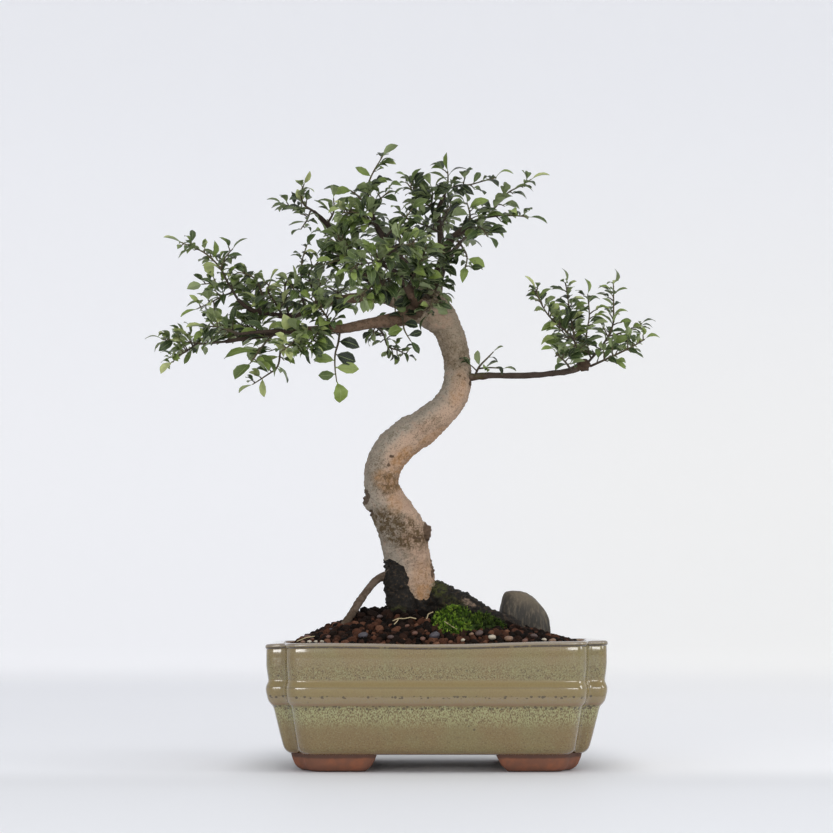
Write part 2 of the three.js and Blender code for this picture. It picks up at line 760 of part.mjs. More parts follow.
function soilHeight(x, y) {
  const side = x < SOIL_PEAK_X ? 0 : 1;
  const along = Math.min(1, Math.abs(x - SOIL_PEAK_X) / SOIL_REACH[side]);
  const across = Math.min(1, Math.abs(y) / (POT_HALF_WIDTH - 6));
  return SOIL_EDGE_Z + SOIL_RISE * (1 - along ** SOIL_FALL[side]) * (1 - across ** 2.2);
}

// Block under a height field with scattered cells, on a flat underside
function heightBlock(countX, countY, place, bottomZ) {
  const positions = [];
  const index = [];
  const at = (column, row) => row * countX + column;
  for (let row = 0; row < countY; row += 1) {
    for (let column = 0; column < countX; column += 1) {
      positions.push(...place(column, row));
    }
  }
  for (let row = 0; row < countY - 1; row += 1) {
    for (let column = 0; column < countX - 1; column += 1) {
      const [a, b] = [at(column, row), at(column + 1, row)];
      const [c, d] = [at(column + 1, row + 1), at(column, row + 1)];
      index.push(a, b, c, a, c, d);
    }
  }
  const rim = [];
  for (let column = 0; column < countX - 1; column += 1) rim.push(at(column, 0));
  for (let row = 0; row < countY - 1; row += 1) rim.push(at(countX - 1, row));
  for (let column = countX - 1; column > 0; column -= 1) rim.push(at(column, countY - 1));
  for (let row = countY - 1; row > 0; row -= 1) rim.push(at(0, row));
  const low = positions.length / 3;
  rim.forEach((corner) => positions.push(positions[corner * 3], positions[corner * 3 + 1], bottomZ));
  const middle = positions.length / 3;
  positions.push(positions[at(countX >> 1, countY >> 1) * 3], 0, bottomZ);
  rim.forEach((corner, i) => {
    const next = (i + 1) % rim.length;
    index.push(low + i, low + next, rim[next], low + i, rim[next], corner);
    index.push(middle, low + next, low + i);
  });
  const geometry = new THREE.BufferGeometry();
  geometry.setAttribute('position', new THREE.Float32BufferAttribute(positions, 3));
  geometry.setIndex(index);
  return solid(geometry);
}

function makeSoil(cuts) {
  const draw = seededDraw(11);
  const countX = Math.round((2 * POT_HALF_LENGTH) / SOIL_CELL);
  const countY = Math.round((2 * POT_HALF_WIDTH) / SOIL_CELL);
  const mound = heightBlock(countX, countY, (column, row) => {
    const x = (column / (countX - 1) - 0.5) * 2 * POT_HALF_LENGTH + (draw() - 0.5) * 0.5 * SOIL_CELL;
    const y = (row / (countY - 1) - 0.5) * 2 * POT_HALF_WIDTH + (draw() - 0.5) * 0.5 * SOIL_CELL;
    return [x, y, soilHeight(x, y) + (draw() - 0.6) * SOIL_ROUGHNESS];
  }, 0);
  const plug = [[FLOOR_Z + GAP, 20], ...CAVITY_PROFILE.slice(1), [2 * POT_HEIGHT, RIM_WIDTH]];
  const screenRoom = [-1, 1].map((side) => {
    const height = SCREEN_THICKNESS + 2 * WIRE_RADIUS + 3 * GAP;
    const box = new THREE.BoxGeometry(SCREEN_SIZE + 1, SCREEN_SIZE + 1, 2 * height);
    return solid(box.translate(side * DRAIN_X, 0, FLOOR_Z + GAP));
  });
  const filled = mound.intersect(potLoft(plug, GAP));
  return largestPiece([...screenRoom, ...cuts].reduce((rest, cut) => rest.subtract(cut), filled));
}

// Water-worn stone: steep and square-shouldered on the left, sloping away to the right
function makeStone(extra = 0) {
  const pebble = new THREE.SphereGeometry(1, 12, 8);
  pebble.rotateX(Math.PI / 2);
  const spots = pebble.getAttribute('position');
  const spot = new THREE.Vector3();
  for (let i = 0; i < spots.count; i += 1) {
    spot.fromBufferAttribute(spots, i);
    const round = Math.sqrt(Math.max(1 - spot.z * spot.z, 1e-6));
    const square = Math.max(1 - Math.abs(spot.z) ** STONE_SHOULDER, 0) ** (1 / STONE_SHOULDER) / round;
    const lean = STONE_LEAN * spot.z * spot.z;
    const dent = 1 + 0.06 * Math.sin(5 * spot.x + 2) * Math.cos(4 * spot.y);
    spot.set(
      (STONE_SIZE[0] + extra) * spot.x * square * (1 - 0.12 * spot.z) * dent - lean,
      (STONE_SIZE[1] + extra) * spot.y * square * dent,
      (STONE_SIZE[2] + extra) * spot.z,
    );
    spots.setXYZ(i, spot.x, spot.y, spot.z);
  }
  return solid(pebble.translate(...STONE_CENTRE));
}

// Moss: a cushion on the front slope, deep on the left and trailing to the right
function makeMoss(extra = 0) {
  const draw = seededDraw(23);
  const [columns, rows] = [11, 9];
  const [[left, right], [front, back]] = [MOSS_X, MOSS_Y];
  const block = heightBlock(columns, rows, (column, row) => {
    const u = (2 * column) / (columns - 1) - 1;
    const v = (2 * row) / (rows - 1) - 1;
    const squeeze = Math.sqrt(1 - 0.5 * v * v);
    const narrow = (0.72 - 0.35 * u) * Math.sqrt(1 - 0.5 * u * u);
    const x = (left + right) / 2 + ((right - left) / 2 + extra) * u * squeeze;
    const y = (front + back) / 2 + ((back - front) / 2 + extra) * v * narrow + 4 * u;
    const dome = (1 - u * u) * (1 - v * v);
    const away = ((x - MOSS_CLUMP[0]) ** 2 + (y - MOSS_CLUMP[1]) ** 2) / MOSS_CLUMP_REACH ** 2;
    const rise = 1.2 + MOSS_RISE * dome + MOSS_CLUMP[2] * Math.exp(-away) * Math.sign(dome);
    return [x, y, soilHeight(x, y) + rise + (draw() - 0.4) * 3 * Math.sign(dome) + extra];
  }, 0);
  const slab = heightBlock(5, 5, (column, row) => {
    const x = left - 10 + ((right - left + 20) * column) / 4;
    const y = front - 10 + ((back - front + 20) * row) / 4;
    return [x, y, soilHeight(x, y) - 4 - extra];
  }, -10);
  return block.subtract(slab);
}

function nearestOnPath(path, point) {
  const spots = path.slice(1).map((end, i) => (
    new THREE.Line3(path[i], end).closestPointToPoint(point, true, new THREE.Vector3())));
  return spots.reduce((best, spot) => (
    spot.distanceToSquared(point) < best.distanceToSquared(point) ? spot : best));
}

// Stems of one spray, with the side stems begun on the first
function sprayStems(spray) {
  const paths = spray.stems.map((stem) => stem.map(([x, y, z]) => new THREE.Vector3(x, y, z)));
  paths.slice(1).forEach((path) => path[0].copy(nearestOnPath(paths[0], path[0])));
  return paths;
}

function stemRadius(share) {
  return STEM_RADIUS[0] + (STEM_RADIUS[1] - STEM_RADIUS[0]) * share;
}

function stemSolid(points, extra) {
  const radii = points.map((_, i) => stemRadius(i / (points.length - 1)) + extra);
  return solid(tube(points, radii, 6));
}

// A spot on one face of a blade: side is -1 to 1 across it, face 1 on top and -1 below
function bladeSpot(leaf, share, side, face, extra = 0) {
  const rise = BLADE_ARCH * leaf.length * 4 * share * (1 - share);
  return leaf.base.clone()
    .addScaledVector(leaf.along, share * leaf.length)
    .addScaledVector(leaf.across, side * (BLADE_HALF_WIDTH * leaf.wide * leaf.length + extra))
    .addScaledVector(leaf.up, rise + face * (BLADE_THICKNESS / 2 + extra));
}

// The space a blade takes, from where it is clear of its stem
function bladeSolid(leaf, extra) {
  const start = bladeRing(leaf, BLADE_START, 0.35, extra);
  const rings = [start, ...BLADE_WIDTHS.map(([share, wide]) => bladeRing(leaf, share, wide, extra))];
  return solid(loft([...rings, bladeRing(leaf, 1, 0.08, extra)]));
}

function bladeRing(leaf, share, wide, extra) {
  return [[-wide, 1], [-wide, -1], [wide, -1], [wide, 1]]
    .map(([side, face]) => bladeSpot(leaf, share, side, face, extra));
}

// Leaves in two ranks along a stem, and one at its tip
function stemLeaves(points, spray, draw, firstAt) {
  const lengths = [0];
  for (let i = 1; i < points.length; i += 1) {
    lengths.push(lengths[i - 1] + points[i].distanceTo(points[i - 1]));
  }
  const whole = lengths[lengths.length - 1];
  const count = Math.max(2, Math.round((whole - firstAt) / spray.spacing));
  const leaves = [];
  for (let i = 0; i <= count; i += 1) {
    const last = i === count;
    const jitter = 0.3 * (draw() - 0.5);
    const at = last ? whole : firstAt + ((i + jitter) * (whole - firstAt)) / count;
    const span = Math.max(1, lengths.findIndex((length) => length >= Math.min(at, whole - 1e-6)));
    const share = (at - lengths[span - 1]) / (lengths[span] - lengths[span - 1]);
    const base = points[span - 1].clone().lerp(points[span], share);
    const tangent = direction(points[span - 1], points[span]);
    const side = i % 2 === 0 ? 1 : -1;
    leaves.push({ at, tangent, ...leafAt(base, tangent, spray, draw, last ? 0 : side, at / whole) });
  }
  return leaves;
}

function leafAt(base, tangent, spray, draw, side, share) {
  const up = faceUp(spray, tangent);
  const across = new THREE.Vector3().crossVectors(up, tangent);
  const angle = side * (LEAF_ANGLE + 0.5 * (draw() - 0.5));
  const along = tangent.clone().multiplyScalar(Math.cos(angle)).addScaledVector(across, Math.sin(angle));
  along.addScaledVector(up, 0.7 * (draw() - 0.4));
  along.z -= 0.12;
  along.normalize();
  up.addScaledVector(across, 1.1 * (draw() - 0.5));
  up.addScaledVector(along, -up.dot(along)).normalize();
  const size = 0.72 + 0.36 * Math.sin(Math.PI * (0.12 + 0.76 * share)) + 0.3 * (draw() - 0.5);
  return {
    base,
    side,
    along,
    up,
    across: new THREE.Vector3().crossVectors(up, along),
    length: spray.leaf * (side === 0 ? 1 : size),
    wide: 0.88 + 0.3 * draw(),
  };
}

function faceUp(spray, tangent) {
  const up = FACES[spray.face].clone();
  return up.addScaledVector(tangent, -up.dot(tangent)).normalize();
}

function turned(leaf, angle) {
  const along = leaf.along.clone().applyAxisAngle(leaf.across, angle);
  const up = leaf.up.clone().applyAxisAngle(leaf.across, angle);
  return { ...leaf, along, up };
}

function meets(piece, others) {
  const box = boxOf(piece);
  return others.some((other) => box.intersectsBox(other.box) && !piece.intersect(other.solid).isEmpty());
}

function withBox(whole) {
  return { solid: whole, box: boxOf(whole) };
}

// One stem with its leaves as a single skin: each leaf grows out of a side of the stem
function leafyStem(points, spray, leaves) {
  const positions = [];
  const index = [];
  const put = (spot) => positions.push(spot.x, spot.y, spot.z) / 3 - 1;
  const whole = points.slice(1).reduce((sum, point, i) => sum + point.distanceTo(points[i]), 0);
  const ring = (centre, tangent, at) => {
    const up = faceUp(spray, tangent);
    const across = new THREE.Vector3().crossVectors(up, tangent);
    return [0, 1, 2].map((corner) => {
      const angle = Math.PI / 2 + (2 * Math.PI * corner) / 3;
      return put(centre.clone()
        .addScaledVector(across, stemRadius(at / whole) * Math.cos(angle))
        .addScaledVector(up, stemRadius(at / whole) * Math.sin(angle)));
    });
  };
  const join = (low, high) => low.forEach((corner, i) => {
    const next = (i + 1) % low.length;
    if (low[next] !== corner) {
      index.push(corner, low[next], high[next]);
    }
    if (high[next] !== high[i]) {
      index.push(corner, high[next], high[i]);
    }
  });
  const blade = (corners, leaf, order) => {
    const rings = BLADE_WIDTHS.map(([share, wide]) => order.map(([side, face]) => (
      put(bladeSpot(leaf, share, side * wide, face)))));
    const end = put(bladeSpot(leaf, 1, 0, 0));
    [...rings, [end, end, end, end]].reduce((low, high) => (join(low, high), high), corners);
  };

  let done = 0;
  const stops = points.slice(1, -1).map((point, i) => {
    done += point.distanceTo(points[i]);
    const tangent = direction(points[i], points[i + 2]);
    return { at: done, base: point, tangent };
  });
  const free = stops.filter((stop) => leaves.every((leaf) => Math.abs(leaf.at - stop.at) > FREE_STEM));
  const route = [...free, ...leaves.filter((leaf) => leaf.side !== 0)].sort((a, b) => a.at - b.at);
  let last = ring(points[0], direction(points[0], points[1]), 0);
  index.push(last[0], last[2], last[1]);
  for (const stop of route) {
    if (stop.side === undefined) {
      const next = ring(stop.base, stop.tangent, stop.at);
      join(last, next);
      last = next;
      continue;
    }
    const [low, high] = [-1, 1].map((way) => ring(
      stop.base.clone().addScaledVector(stop.tangent, way * STALK_HALF_WIDTH), stop.tangent, stop.at));
    join(last, low);
    const open = stop.side < 0 ? 0 : 2;
    [0, 1, 2].filter((k) => k !== open).forEach((k) => {
      const next = (k + 1) % 3;
      index.push(low[k], low[next], high[next], low[k], high[next], high[k]);
    });
    if (stop.side < 0) {
      blade([low[0], low[1], high[1], high[0]], stop, [[-1, 1], [-1, -1], [1, -1], [1, 1]]);
    } else {
      blade([low[2], low[0], high[0], high[2]], stop, [[1, -1], [1, 1], [-1, 1], [-1, -1]]);
    }
    last = high;
  }
  const tip = leaves.find((leaf) => leaf.side === 0);
  const end = ring(points.at(-1), direction(points.at(-2), points.at(-1)), whole);
  join(last, end);
  if (tip) {
    blade([end[0], end[1], end[2], end[0]], tip, [[-1, 1], [-1, -1], [1, -1], [1, 1]]);
  } else {
    index.push(...end);
  }
  const geometry = new THREE.BufferGeometry();
  geometry.setAttribute('position', new THREE.Float32BufferAttribute(positions, 3));
  geometry.setIndex(index);
  return solid(geometry);
}

// All sprays: stems first, then each leaf where it is clear of the wood and the other sprays
function makeSprays(thickWood) {
  const wood = withBox(thickWood);
  const sprays = Object.entries(SPRAYS).map(([name, spray]) => {
    const paths = sprayStems(spray);
    const stems = paths.map((path) => withBox(stemSolid(path, GAP)));
    return { name, spray, paths, stems, kept: paths.map(() => []), blades: [] };
  });
  sprays.forEach((each, number) => {
    const draw = seededDraw(101 + number);
    const others = sprays.filter((other) => other !== each);
    const inTheWay = [wood, ...sprays.flatMap((other) => other.stems)];
    each.paths.forEach((path, i) => {
      const firstAt = i === 0 ? FIRST_LEAF_AT : FIRST_SIDE_LEAF_AT;
      for (const leaf of stemLeaves(path, each.spray, draw, firstAt)) {
        const posed = LEAF_TURNS.map((angle) => turned(leaf, angle)).find((turn) => (
          !meets(bladeSolid(turn, 0), [...inTheWay, ...each.blades])
          && !meets(bladeSolid(turn, GAP), others.flatMap((other) => other.blades))));
        if (posed) {
          each.blades.push(withBox(bladeSolid(posed, 0)));
          each.kept[i].push(posed);
        }
      }
    });
  });
  return sprays.map(({ name, spray, paths, kept }, number) => {
    const stems = paths.map((path, i) => leafyStem(path, spray, kept[i]));
    const whole = largestPiece(union(stems).subtract(thickWood));
    return named(`spray_${name}`, whole, number % 4 === 1 ? 'youngLeaf' : 'leaf');
  });
}

const thickWood = makeWood(WOOD_GAP);
const stoneRoom = makeStone(GAP);
const tree = new THREE.Group();
tree.add(named('trunk_and_limbs', makeWood(), 'bark'), ...makeSprays(thickWood));

const container = new THREE.Group();
container.add(
  named('pot', makePot(), 'glaze'),
  named('drain_screen_left', makeScreen(-1), 'screen'),
  named('drain_screen_right', makeScreen(1), 'screen'),
  named('screen_clip_left', makeClip(-1), 'wire'),
  named('screen_clip_right', makeClip(1), 'wire'),
  named('soil', makeSoil([thickWood, stoneRoom, makeMoss(GAP)]), 'soil'),
  named('stone', makeStone().subtract(thickWood), 'stone'),
  named('moss', largestPiece(makeMoss().subtract(thickWood).subtract(stoneRoom)), 'moss'),
);

const bonsai = new THREE.Group();
bonsai.add(container, tree);
const box = new THREE.Box3().setFromObject(bonsai, true);
const middle = box.getCenter(new THREE.Vector3());
bonsai.position.set(-middle.x, -middle.y, -box.min.z);

const root = new THREE.Group();
root.add(bonsai);
export default root;
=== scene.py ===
"""Chinese elm bonsai in its glazed pot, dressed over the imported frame."""

import logging
import math
from abc import ABC, abstractmethod
from dataclasses import dataclass, field
from enum import Enum
from typing import Any, Iterable, Sequence

import bpy
import numpy as np
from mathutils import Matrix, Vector, noise


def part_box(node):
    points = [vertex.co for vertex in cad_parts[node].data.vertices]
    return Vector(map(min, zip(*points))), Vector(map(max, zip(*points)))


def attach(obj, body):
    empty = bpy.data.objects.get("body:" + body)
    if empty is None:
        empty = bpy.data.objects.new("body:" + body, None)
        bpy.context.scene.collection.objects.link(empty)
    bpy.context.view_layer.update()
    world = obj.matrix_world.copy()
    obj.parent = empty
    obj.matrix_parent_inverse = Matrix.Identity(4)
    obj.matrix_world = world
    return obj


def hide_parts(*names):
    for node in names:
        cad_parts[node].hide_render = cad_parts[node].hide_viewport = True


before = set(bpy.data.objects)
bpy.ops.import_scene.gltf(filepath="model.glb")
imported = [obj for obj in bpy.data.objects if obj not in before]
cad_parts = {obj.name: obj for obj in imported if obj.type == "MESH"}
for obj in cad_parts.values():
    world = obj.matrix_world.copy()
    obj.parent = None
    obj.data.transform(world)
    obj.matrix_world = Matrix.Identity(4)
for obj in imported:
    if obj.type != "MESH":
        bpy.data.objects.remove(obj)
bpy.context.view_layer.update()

MM = 0.001
POT_LOW, POT_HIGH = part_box("pot")
POT_CENTRE = np.array([(POT_LOW.x + POT_HIGH.x) / 2, (POT_LOW.y + POT_HIGH.y) / 2, 0.0])

LOG = logging.getLogger("bonsai")

Point = tuple[float, float, float]
Colour = tuple[float, float, float, float]
Stops = tuple[tuple[float, Colour], ...]


def srgb(red: int, green: int, blue: int) -> Colour:
    """A colour given as it looks on a screen.

    Args:
        red: How red it is, from 0 to 255.
        green: How green.
        blue: How blue.

    Returns:
        The linear colour that shaders take.
    """
    def linear(part: int) -> float:
        share = part / 255
        return share / 12.92 if share <= 0.04045 else ((share + 0.055) / 1.055) ** 2.4
    return (linear(red), linear(green), linear(blue), 1.0)


def smooth_step(low: float, high: float, value: np.ndarray | float) -> Any:
    """0 below low, 1 above high and a soft rise between them."""
    share = np.clip((value - low) / (high - low), 0, 1)
    return share * share * (3 - 2 * share)


def unit(vector: np.ndarray) -> np.ndarray:
    """The vector at length 1."""
    return vector / np.linalg.norm(vector)


class SeededDraw:
    """Random numbers from 0 to 1 that come out alike on every run."""

    def __init__(self, seed: int) -> None:
        """Starts the row of numbers at a seed."""
        self.state = seed & 0xFFFFFFFF

    def __call__(self) -> float:
        """Draws the next number.

        Returns:
            The number, from 0 to 1.
        """
        self.state = (self.state + 0x6D2B79F5) & 0xFFFFFFFF
        mixed = ((self.state ^ (self.state >> 15)) * (self.state | 1)) & 0xFFFFFFFF
        mixed ^= (mixed + (mixed ^ (mixed >> 7)) * (mixed | 61)) & 0xFFFFFFFF
        return (mixed ^ (mixed >> 14)) / 4294967296

    def centred(self) -> float:
        """Draws the next number, moved to run from -0.5 to 0.5."""
        return self() - 0.5


class Value:
    """A node's output that takes part in sums, so that shader maths reads as an expression."""

    def __init__(self, graph: "Graph", socket: bpy.types.NodeSocket) -> None:
        """Wraps one output socket of a graph."""
        self.graph = graph
        self.socket = socket

    def math(self, operation: str, *others: Any) -> "Value":
        """One Math node with this value first."""
        inputs = dict(enumerate((self, *others)))
        return self.graph.out("ShaderNodeMath", {"operation": operation}, inputs)

    def __add__(self, other: Any) -> "Value":
        """Sum."""
        return self.math("ADD", other)

    def __sub__(self, other: Any) -> "Value":
        """Difference."""
        return self.math("SUBTRACT", other)

    def __rsub__(self, other: Any) -> "Value":
        """Difference from a number."""
        return self.graph.out("ShaderNodeMath", {"operation": "SUBTRACT"}, {0: other, 1: self})

    def __mul__(self, other: Any) -> "Value":
        """Product."""
        return self.math("MULTIPLY", other)

    __radd__ = __add__
    __rmul__ = __mul__

    def __abs__(self) -> "Value":
        """Size without sign."""
        return self.math("ABSOLUTE")

    def ping_pong(self, length: float) -> "Value":
        """A wave that climbs to length and falls back to 0."""
        return self.math("PINGPONG", length)

    def step(self, low: float, high: float) -> "Value":
        """A soft rise, or a fall where low is the larger.

        Args:
            low: Where the result is 0.
            high: Where the result is 1.

        Returns:
            The share of the way from low to high, eased at both ends.
        """
        settings = {"interpolation_type": "SMOOTHSTEP"}
        span = {"Value": self, "From Min": min(low, high), "From Max": max(low, high)}
        rise = self.graph.out("ShaderNodeMapRange", settings, span)
        return rise if low <= high else 1 - rise

    def band(self, low: float, high: float, soft: float) -> "Value":
        """1 between low and high, fading to 0 over the soft width outside them."""
        return self.step(low - soft, low) * self.step(high + soft, high)


class Graph:
    """Adds nodes to one shader or geometry tree."""

    def __init__(self, tree: bpy.types.NodeTree) -> None:
        """Works on a tree that exists."""
        self.tree = tree

    @staticmethod
    def pick(sockets: Any, key: str | int) -> bpy.types.NodeSocket:
        """Finds a socket among those that are enabled.

        Args:
            sockets: A node's inputs or outputs.
            key: The socket's name, or its number among them.

        Returns:
            The socket.
        """
        shown = [socket for socket in sockets if socket.enabled]
        if isinstance(key, int):
            return shown[key]
        return next(socket for socket in shown if socket.name == key)

    def node(
        self, kind: str, settings: dict[str, Any] | None = None, inputs: dict[str | int, Any] | None = None
    ) -> bpy.types.Node:
        """Adds one node.

        Args:
            kind: The node's type.
            settings: Properties of the node, set first.
            inputs: Values or links of its sockets, by name or number.

        Returns:
            The new node.
        """
        made = self.tree.nodes.new(kind)
        for name, value in (settings or {}).items():
            setattr(made, name, value)
        for key, value in (inputs or {}).items():
            socket = self.pick(made.inputs, key)
            if isinstance(value, Value):
                self.tree.links.new(value.socket, socket)
            else:
                socket.default_value = value
        return made

    def out(
        self,
        kind: str,
        settings: dict[str, Any] | None = None,
        inputs: dict[str | int, Any] | None = None,
        output: str | int = 0,
    ) -> Value:
        """The output of one new node; the arguments are those of node()."""
        return Value(self, self.pick(self.node(kind, settings, inputs).outputs, output))

    def mix(self, factor: Any, first: Any, second: Any) -> Value:
        """A colour between two others."""
        return self.out("ShaderNodeMix", {"data_type": "RGBA"}, {"Factor": factor, "A": first, "B": second})

    def layered(self, colour: Any, *layers: tuple[Any, Any]) -> Value:
        """A colour with others laid over it.

        Args:
            colour: The lowest colour.
            layers: The mask and colour of each layer, in turn.

        Returns:
            The colour on top.
        """
        for mask, over in layers:
            colour = self.mix(mask, colour, over)
        return colour

    def attribute(self, name: str) -> Value:
        """A number stored on the piece's mesh."""
        return self.out("ShaderNodeAttribute", {"attribute_name": name}, {}, "Fac")

    def millimetres(self) -> Value:
        """Where a point is.

        Returns:
            Millimetres from the middle of the pot's underside.
        """
        place = self.out("ShaderNodeTexCoord", {}, {}, "Object")
        scaled = {0: place, 1: (1 / MM,) * 3, 2: tuple(-POT_CENTRE / MM)}
        return self.out("ShaderNodeVectorMath", {"operation": "MULTIPLY_ADD"}, scaled)

    def parts(self, vector: Value) -> tuple[Value, Value, Value]:
        """The three numbers of a vector."""
        split = self.node("ShaderNodeSeparateXYZ", {}, {0: vector})
        return tuple(Value(self, socket) for socket in split.outputs)

    def stretched(self, vector: Value, factors: Point) -> Value:
        """A vector with each part multiplied by its own factor."""
        return self.out("ShaderNodeVectorMath", {"operation": "MULTIPLY"}, {0: vector, 1: factors})

    def noise(self, vector: Value, size: float, detail: float = 3, roughness: float = 0.55) -> Value:
        """Cloudy noise from 0 to 1, with lumps of about size millimetres."""
        inputs = {"Vector": vector, "Scale": 1 / size, "Detail": detail, "Roughness": roughness}
        return self.out("ShaderNodeTexNoise", {}, inputs, 0)

    def cells(self, vector: Value, size: float) -> Value:
        """How far a place is from the heart of its cell, in cells of about size millimetres."""
        inputs = {"Vector": vector, "Scale": 1 / size}
        return self.out("ShaderNodeTexVoronoi", {"feature": "F1"}, inputs, "Distance")

    def ramp(self, factor: Any, stops: Stops, mode: str = "LINEAR") -> Value:
        """Reads a colour from a ramp.

        Args:
            factor: Place on the ramp, from 0 to 1.
            stops: Place and colour of each stop.
            mode: How the ramp runs from stop to stop.

        Returns:
            The colour.
        """
        made = self.node("ShaderNodeValToRGB", {}, {0: factor})
        made.color_ramp.interpolation = mode
        elements = made.color_ramp.elements
        while len(elements) < len(stops):
            elements.new(0.5)
        for element, (position, colour) in zip(elements, stops):
            element.position = position
            element.color = colour
        return Value(self, made.outputs["Color"])

    def bump(self, height: Value, depth: float, strength: float = 1.0) -> Value:
        """Normals tilted by a height from 0 to 1 that is depth millimetres high."""
        inputs = {"Height": height, "Distance": depth * MM, "Strength": strength}
        return self.out("ShaderNodeBump", {}, inputs)


class Finish(ABC):
    """A finish, which makes one material around one principled shader."""

    name: str

    def material(self) -> bpy.types.Material:
        """Makes the material.

        Returns:
            A new material under the finish's name.
        """
        made = bpy.data.materials.new(self.name)
        made.use_nodes = True
        made.node_tree.nodes.clear()
        graph = Graph(made.node_tree)
        shader = graph.out("ShaderNodeBsdfPrincipled", {}, self.sockets(graph))
        graph.node("ShaderNodeOutputMaterial", {}, {"Surface": shader})
        return made

    @abstractmethod
    def sockets(self, graph: Graph) -> dict[str, Any]:
        """What goes into the shader.

        Args:
            graph: The material's graph, to add nodes to.

        Returns:
            A value for each of the shader's sockets that the finish sets.
        """


@dataclass(frozen=True)
class Glaze(Finish):
    """Olive celadon: smooth where it ran thick, speckled where it thinned, brown on the edges."""

    name: str = "olive_glaze"
    belt: Colour = srgb(123, 105, 60)
    wall: Colour = srgb(116, 97, 57)
    foot: Colour = srgb(112, 91, 52)
    green: Colour = srgb(114, 104, 63)
    fleck: Colour = srgb(132, 130, 88)
    pale: Colour = srgb(147, 147, 102)
    ridge: Colour = srgb(131, 114, 82)
    rust: Colour = srgb(124, 92, 66)
    pit: Colour = srgb(66, 54, 34)
    lip: Colour = srgb(124, 112, 95)
    # Under the lip: partly painted shade under its overhang, partly glaze pooled there
    line: Colour = srgb(48, 34, 27)
    # Bands round the pot: lowest and highest level, and the width over which each fades
    belt_band: Point = (47, 55.6, 0.7)
    seam_band: Point = (51.2, 51.9, 0.3)
    ridge_band: Point = (41.6, 45.6, 0.7)
    worn_band: Point = (42.6, 45.4, 0.8)
    rust_band: Point = (41.0, 41.9, 0.4)
    upper_pits: Point = (45.2, 46.6, 0.4)
    lower_pits: Point = (38.4, 40.4, 0.5)
    # The dark line under the lip: partly painted shade, partly pooled glaze
    rim_line: Point = (75.6, 76.4, 0.4)

    def sockets(self, graph: Graph) -> dict[str, Any]:
        """Builds the glaze from bands at levels over the table.

        Args:
            graph: The material's graph.

        Returns:
            A value for each socket of the shader.
        """
        place = graph.millimetres()
        level = graph.attribute("level")
        drift = graph.noise(place, 26, 2)
        uneven = level + (graph.noise(graph.stretched(place, (1, 1, 0.2)), 5, 3, 0.6) - 0.5) * 5
        dust = graph.noise(place, 0.8, 2, 0.6)
        drops = graph.noise(graph.stretched(place, (1, 1, 0.8)), 0.7, 2, 0.6)
        drips = graph.noise(graph.stretched(place, (1, 1, 0.5)), 0.62, 3, 0.6)
        upper = uneven.step(55.5, 57.5) * uneven.step(72, 60)
        lower = uneven.step(40.6, 39.4) * uneven.step(24, 35)
        ridge = level + (graph.noise(place, 4, 2) - 0.5) * 1.2
        pits = graph.cells(place, 2.4).step(0.42, 0.3)
        stray = graph.cells(place, 11).step(0.09, 0.05) * graph.noise(place, 30, 1).step(0.5, 0.6)
        under = graph.noise(place, 3, 3, 0.6).step(0.34, 0.5)
        worn = graph.noise(place, 6, 3).step(0.52, 0.62) * level.step(76.2, 77)
        colour = graph.layered(
            self.foot,
            (level.step(14, 38), self.wall),
            (drift.step(0.4, 0.66) * 0.6, self.green),
            (dust.step(0.54, 0.66) * 0.42, self.pit),
            (dust.step(0.46, 0.36) * 0.35, self.fleck),
            (drops.step(0.5, 0.62) * upper * 0.7, self.fleck),
            (drops.step(0.46, 0.36) * upper * 0.8, self.pit),
            (drips.step(0.44, 0.58) * lower * 0.85, self.pale),
            (drips.step(0.46, 0.36) * lower * 0.8, self.pit),
            (level.band(*self.belt_band) * 0.62, self.belt),
            (level.band(*self.seam_band) * 0.25, self.pit),
            (ridge.band(*self.ridge_band) * 0.7, self.ridge),
            (ridge.band(*self.worn_band) * drops.step(0.5, 0.62) * 0.6, self.lip),
            (ridge.band(*self.rust_band) * 0.55, self.rust),
            (pits * level.band(*self.upper_pits) * 0.9, self.pit),
            (pits * level.band(*self.lower_pits) * 0.8, self.pit),
            (stray * 0.8, self.pit),
            (level.step(12.6, 11) * 0.5, self.rust),
            (level.step(76.7, 77.2), self.lip),
            # Dark line under the lip: partly painted shade under its overhang, partly pooled glaze
            (level.band(*self.rim_line) * (0.35 + under * 0.5), self.line),
            (graph.attribute("inner") * level.step(78.4, 77.6), self.rust),
            (worn * 0.45, self.ridge),
        )
        relief = graph.noise(place, 5, 2) * 0.5 + graph.noise(place, 1.2, 2) * 0.12
        return {
            "Base Color": colour,
            "Roughness": 0.1 + dust * 0.12,
            "Normal": graph.bump(relief, 0.12, 0.5),
            "IOR": 1.55,
            "Coat Weight": 0.8,
            "Coat Roughness": 0.04,
        }


@dataclass(frozen=True)
class Clay(Finish):
    """Bare red-brown clay of the feet, warmer where it fired thin."""

    name: str = "bare_clay"
    body: Colour = srgb(110, 71, 53)
    warm: Colour = srgb(130, 79, 54)
    shade: Colour = srgb(66, 45, 36)

    def sockets(self, graph: Graph) -> dict[str, Any]:
        """Builds the clay with painted shade along its top, under the glazed body where the glaze stopped,
        and at its foot on the table.

        Args:
            graph: The material's graph.

        Returns:
            A value for each socket of the shader.
        """
        place = graph.millimetres()
        _, _, height = graph.parts(place)
        colour = graph.layered(
            self.body,
            (graph.noise(place, 7, 4).step(0.4, 0.7), self.warm),
            # Painted shade: a dark band along the top under the glazed body, and darker at the very bottom
            # on the table
            ((height + graph.noise(place, 5, 2) * 1.4).step(8.4, 9.8) * 0.85, self.shade),
            (height.step(0.9, 0.2) * 0.5, self.shade),
        )
        grain = graph.noise(place, 0.8, 3, 0.7)
        return {
            "Base Color": colour,
            "Roughness": 0.72 + grain * 0.15,
            "Normal": graph.bump(grain, 0.2, 0.5),
        }


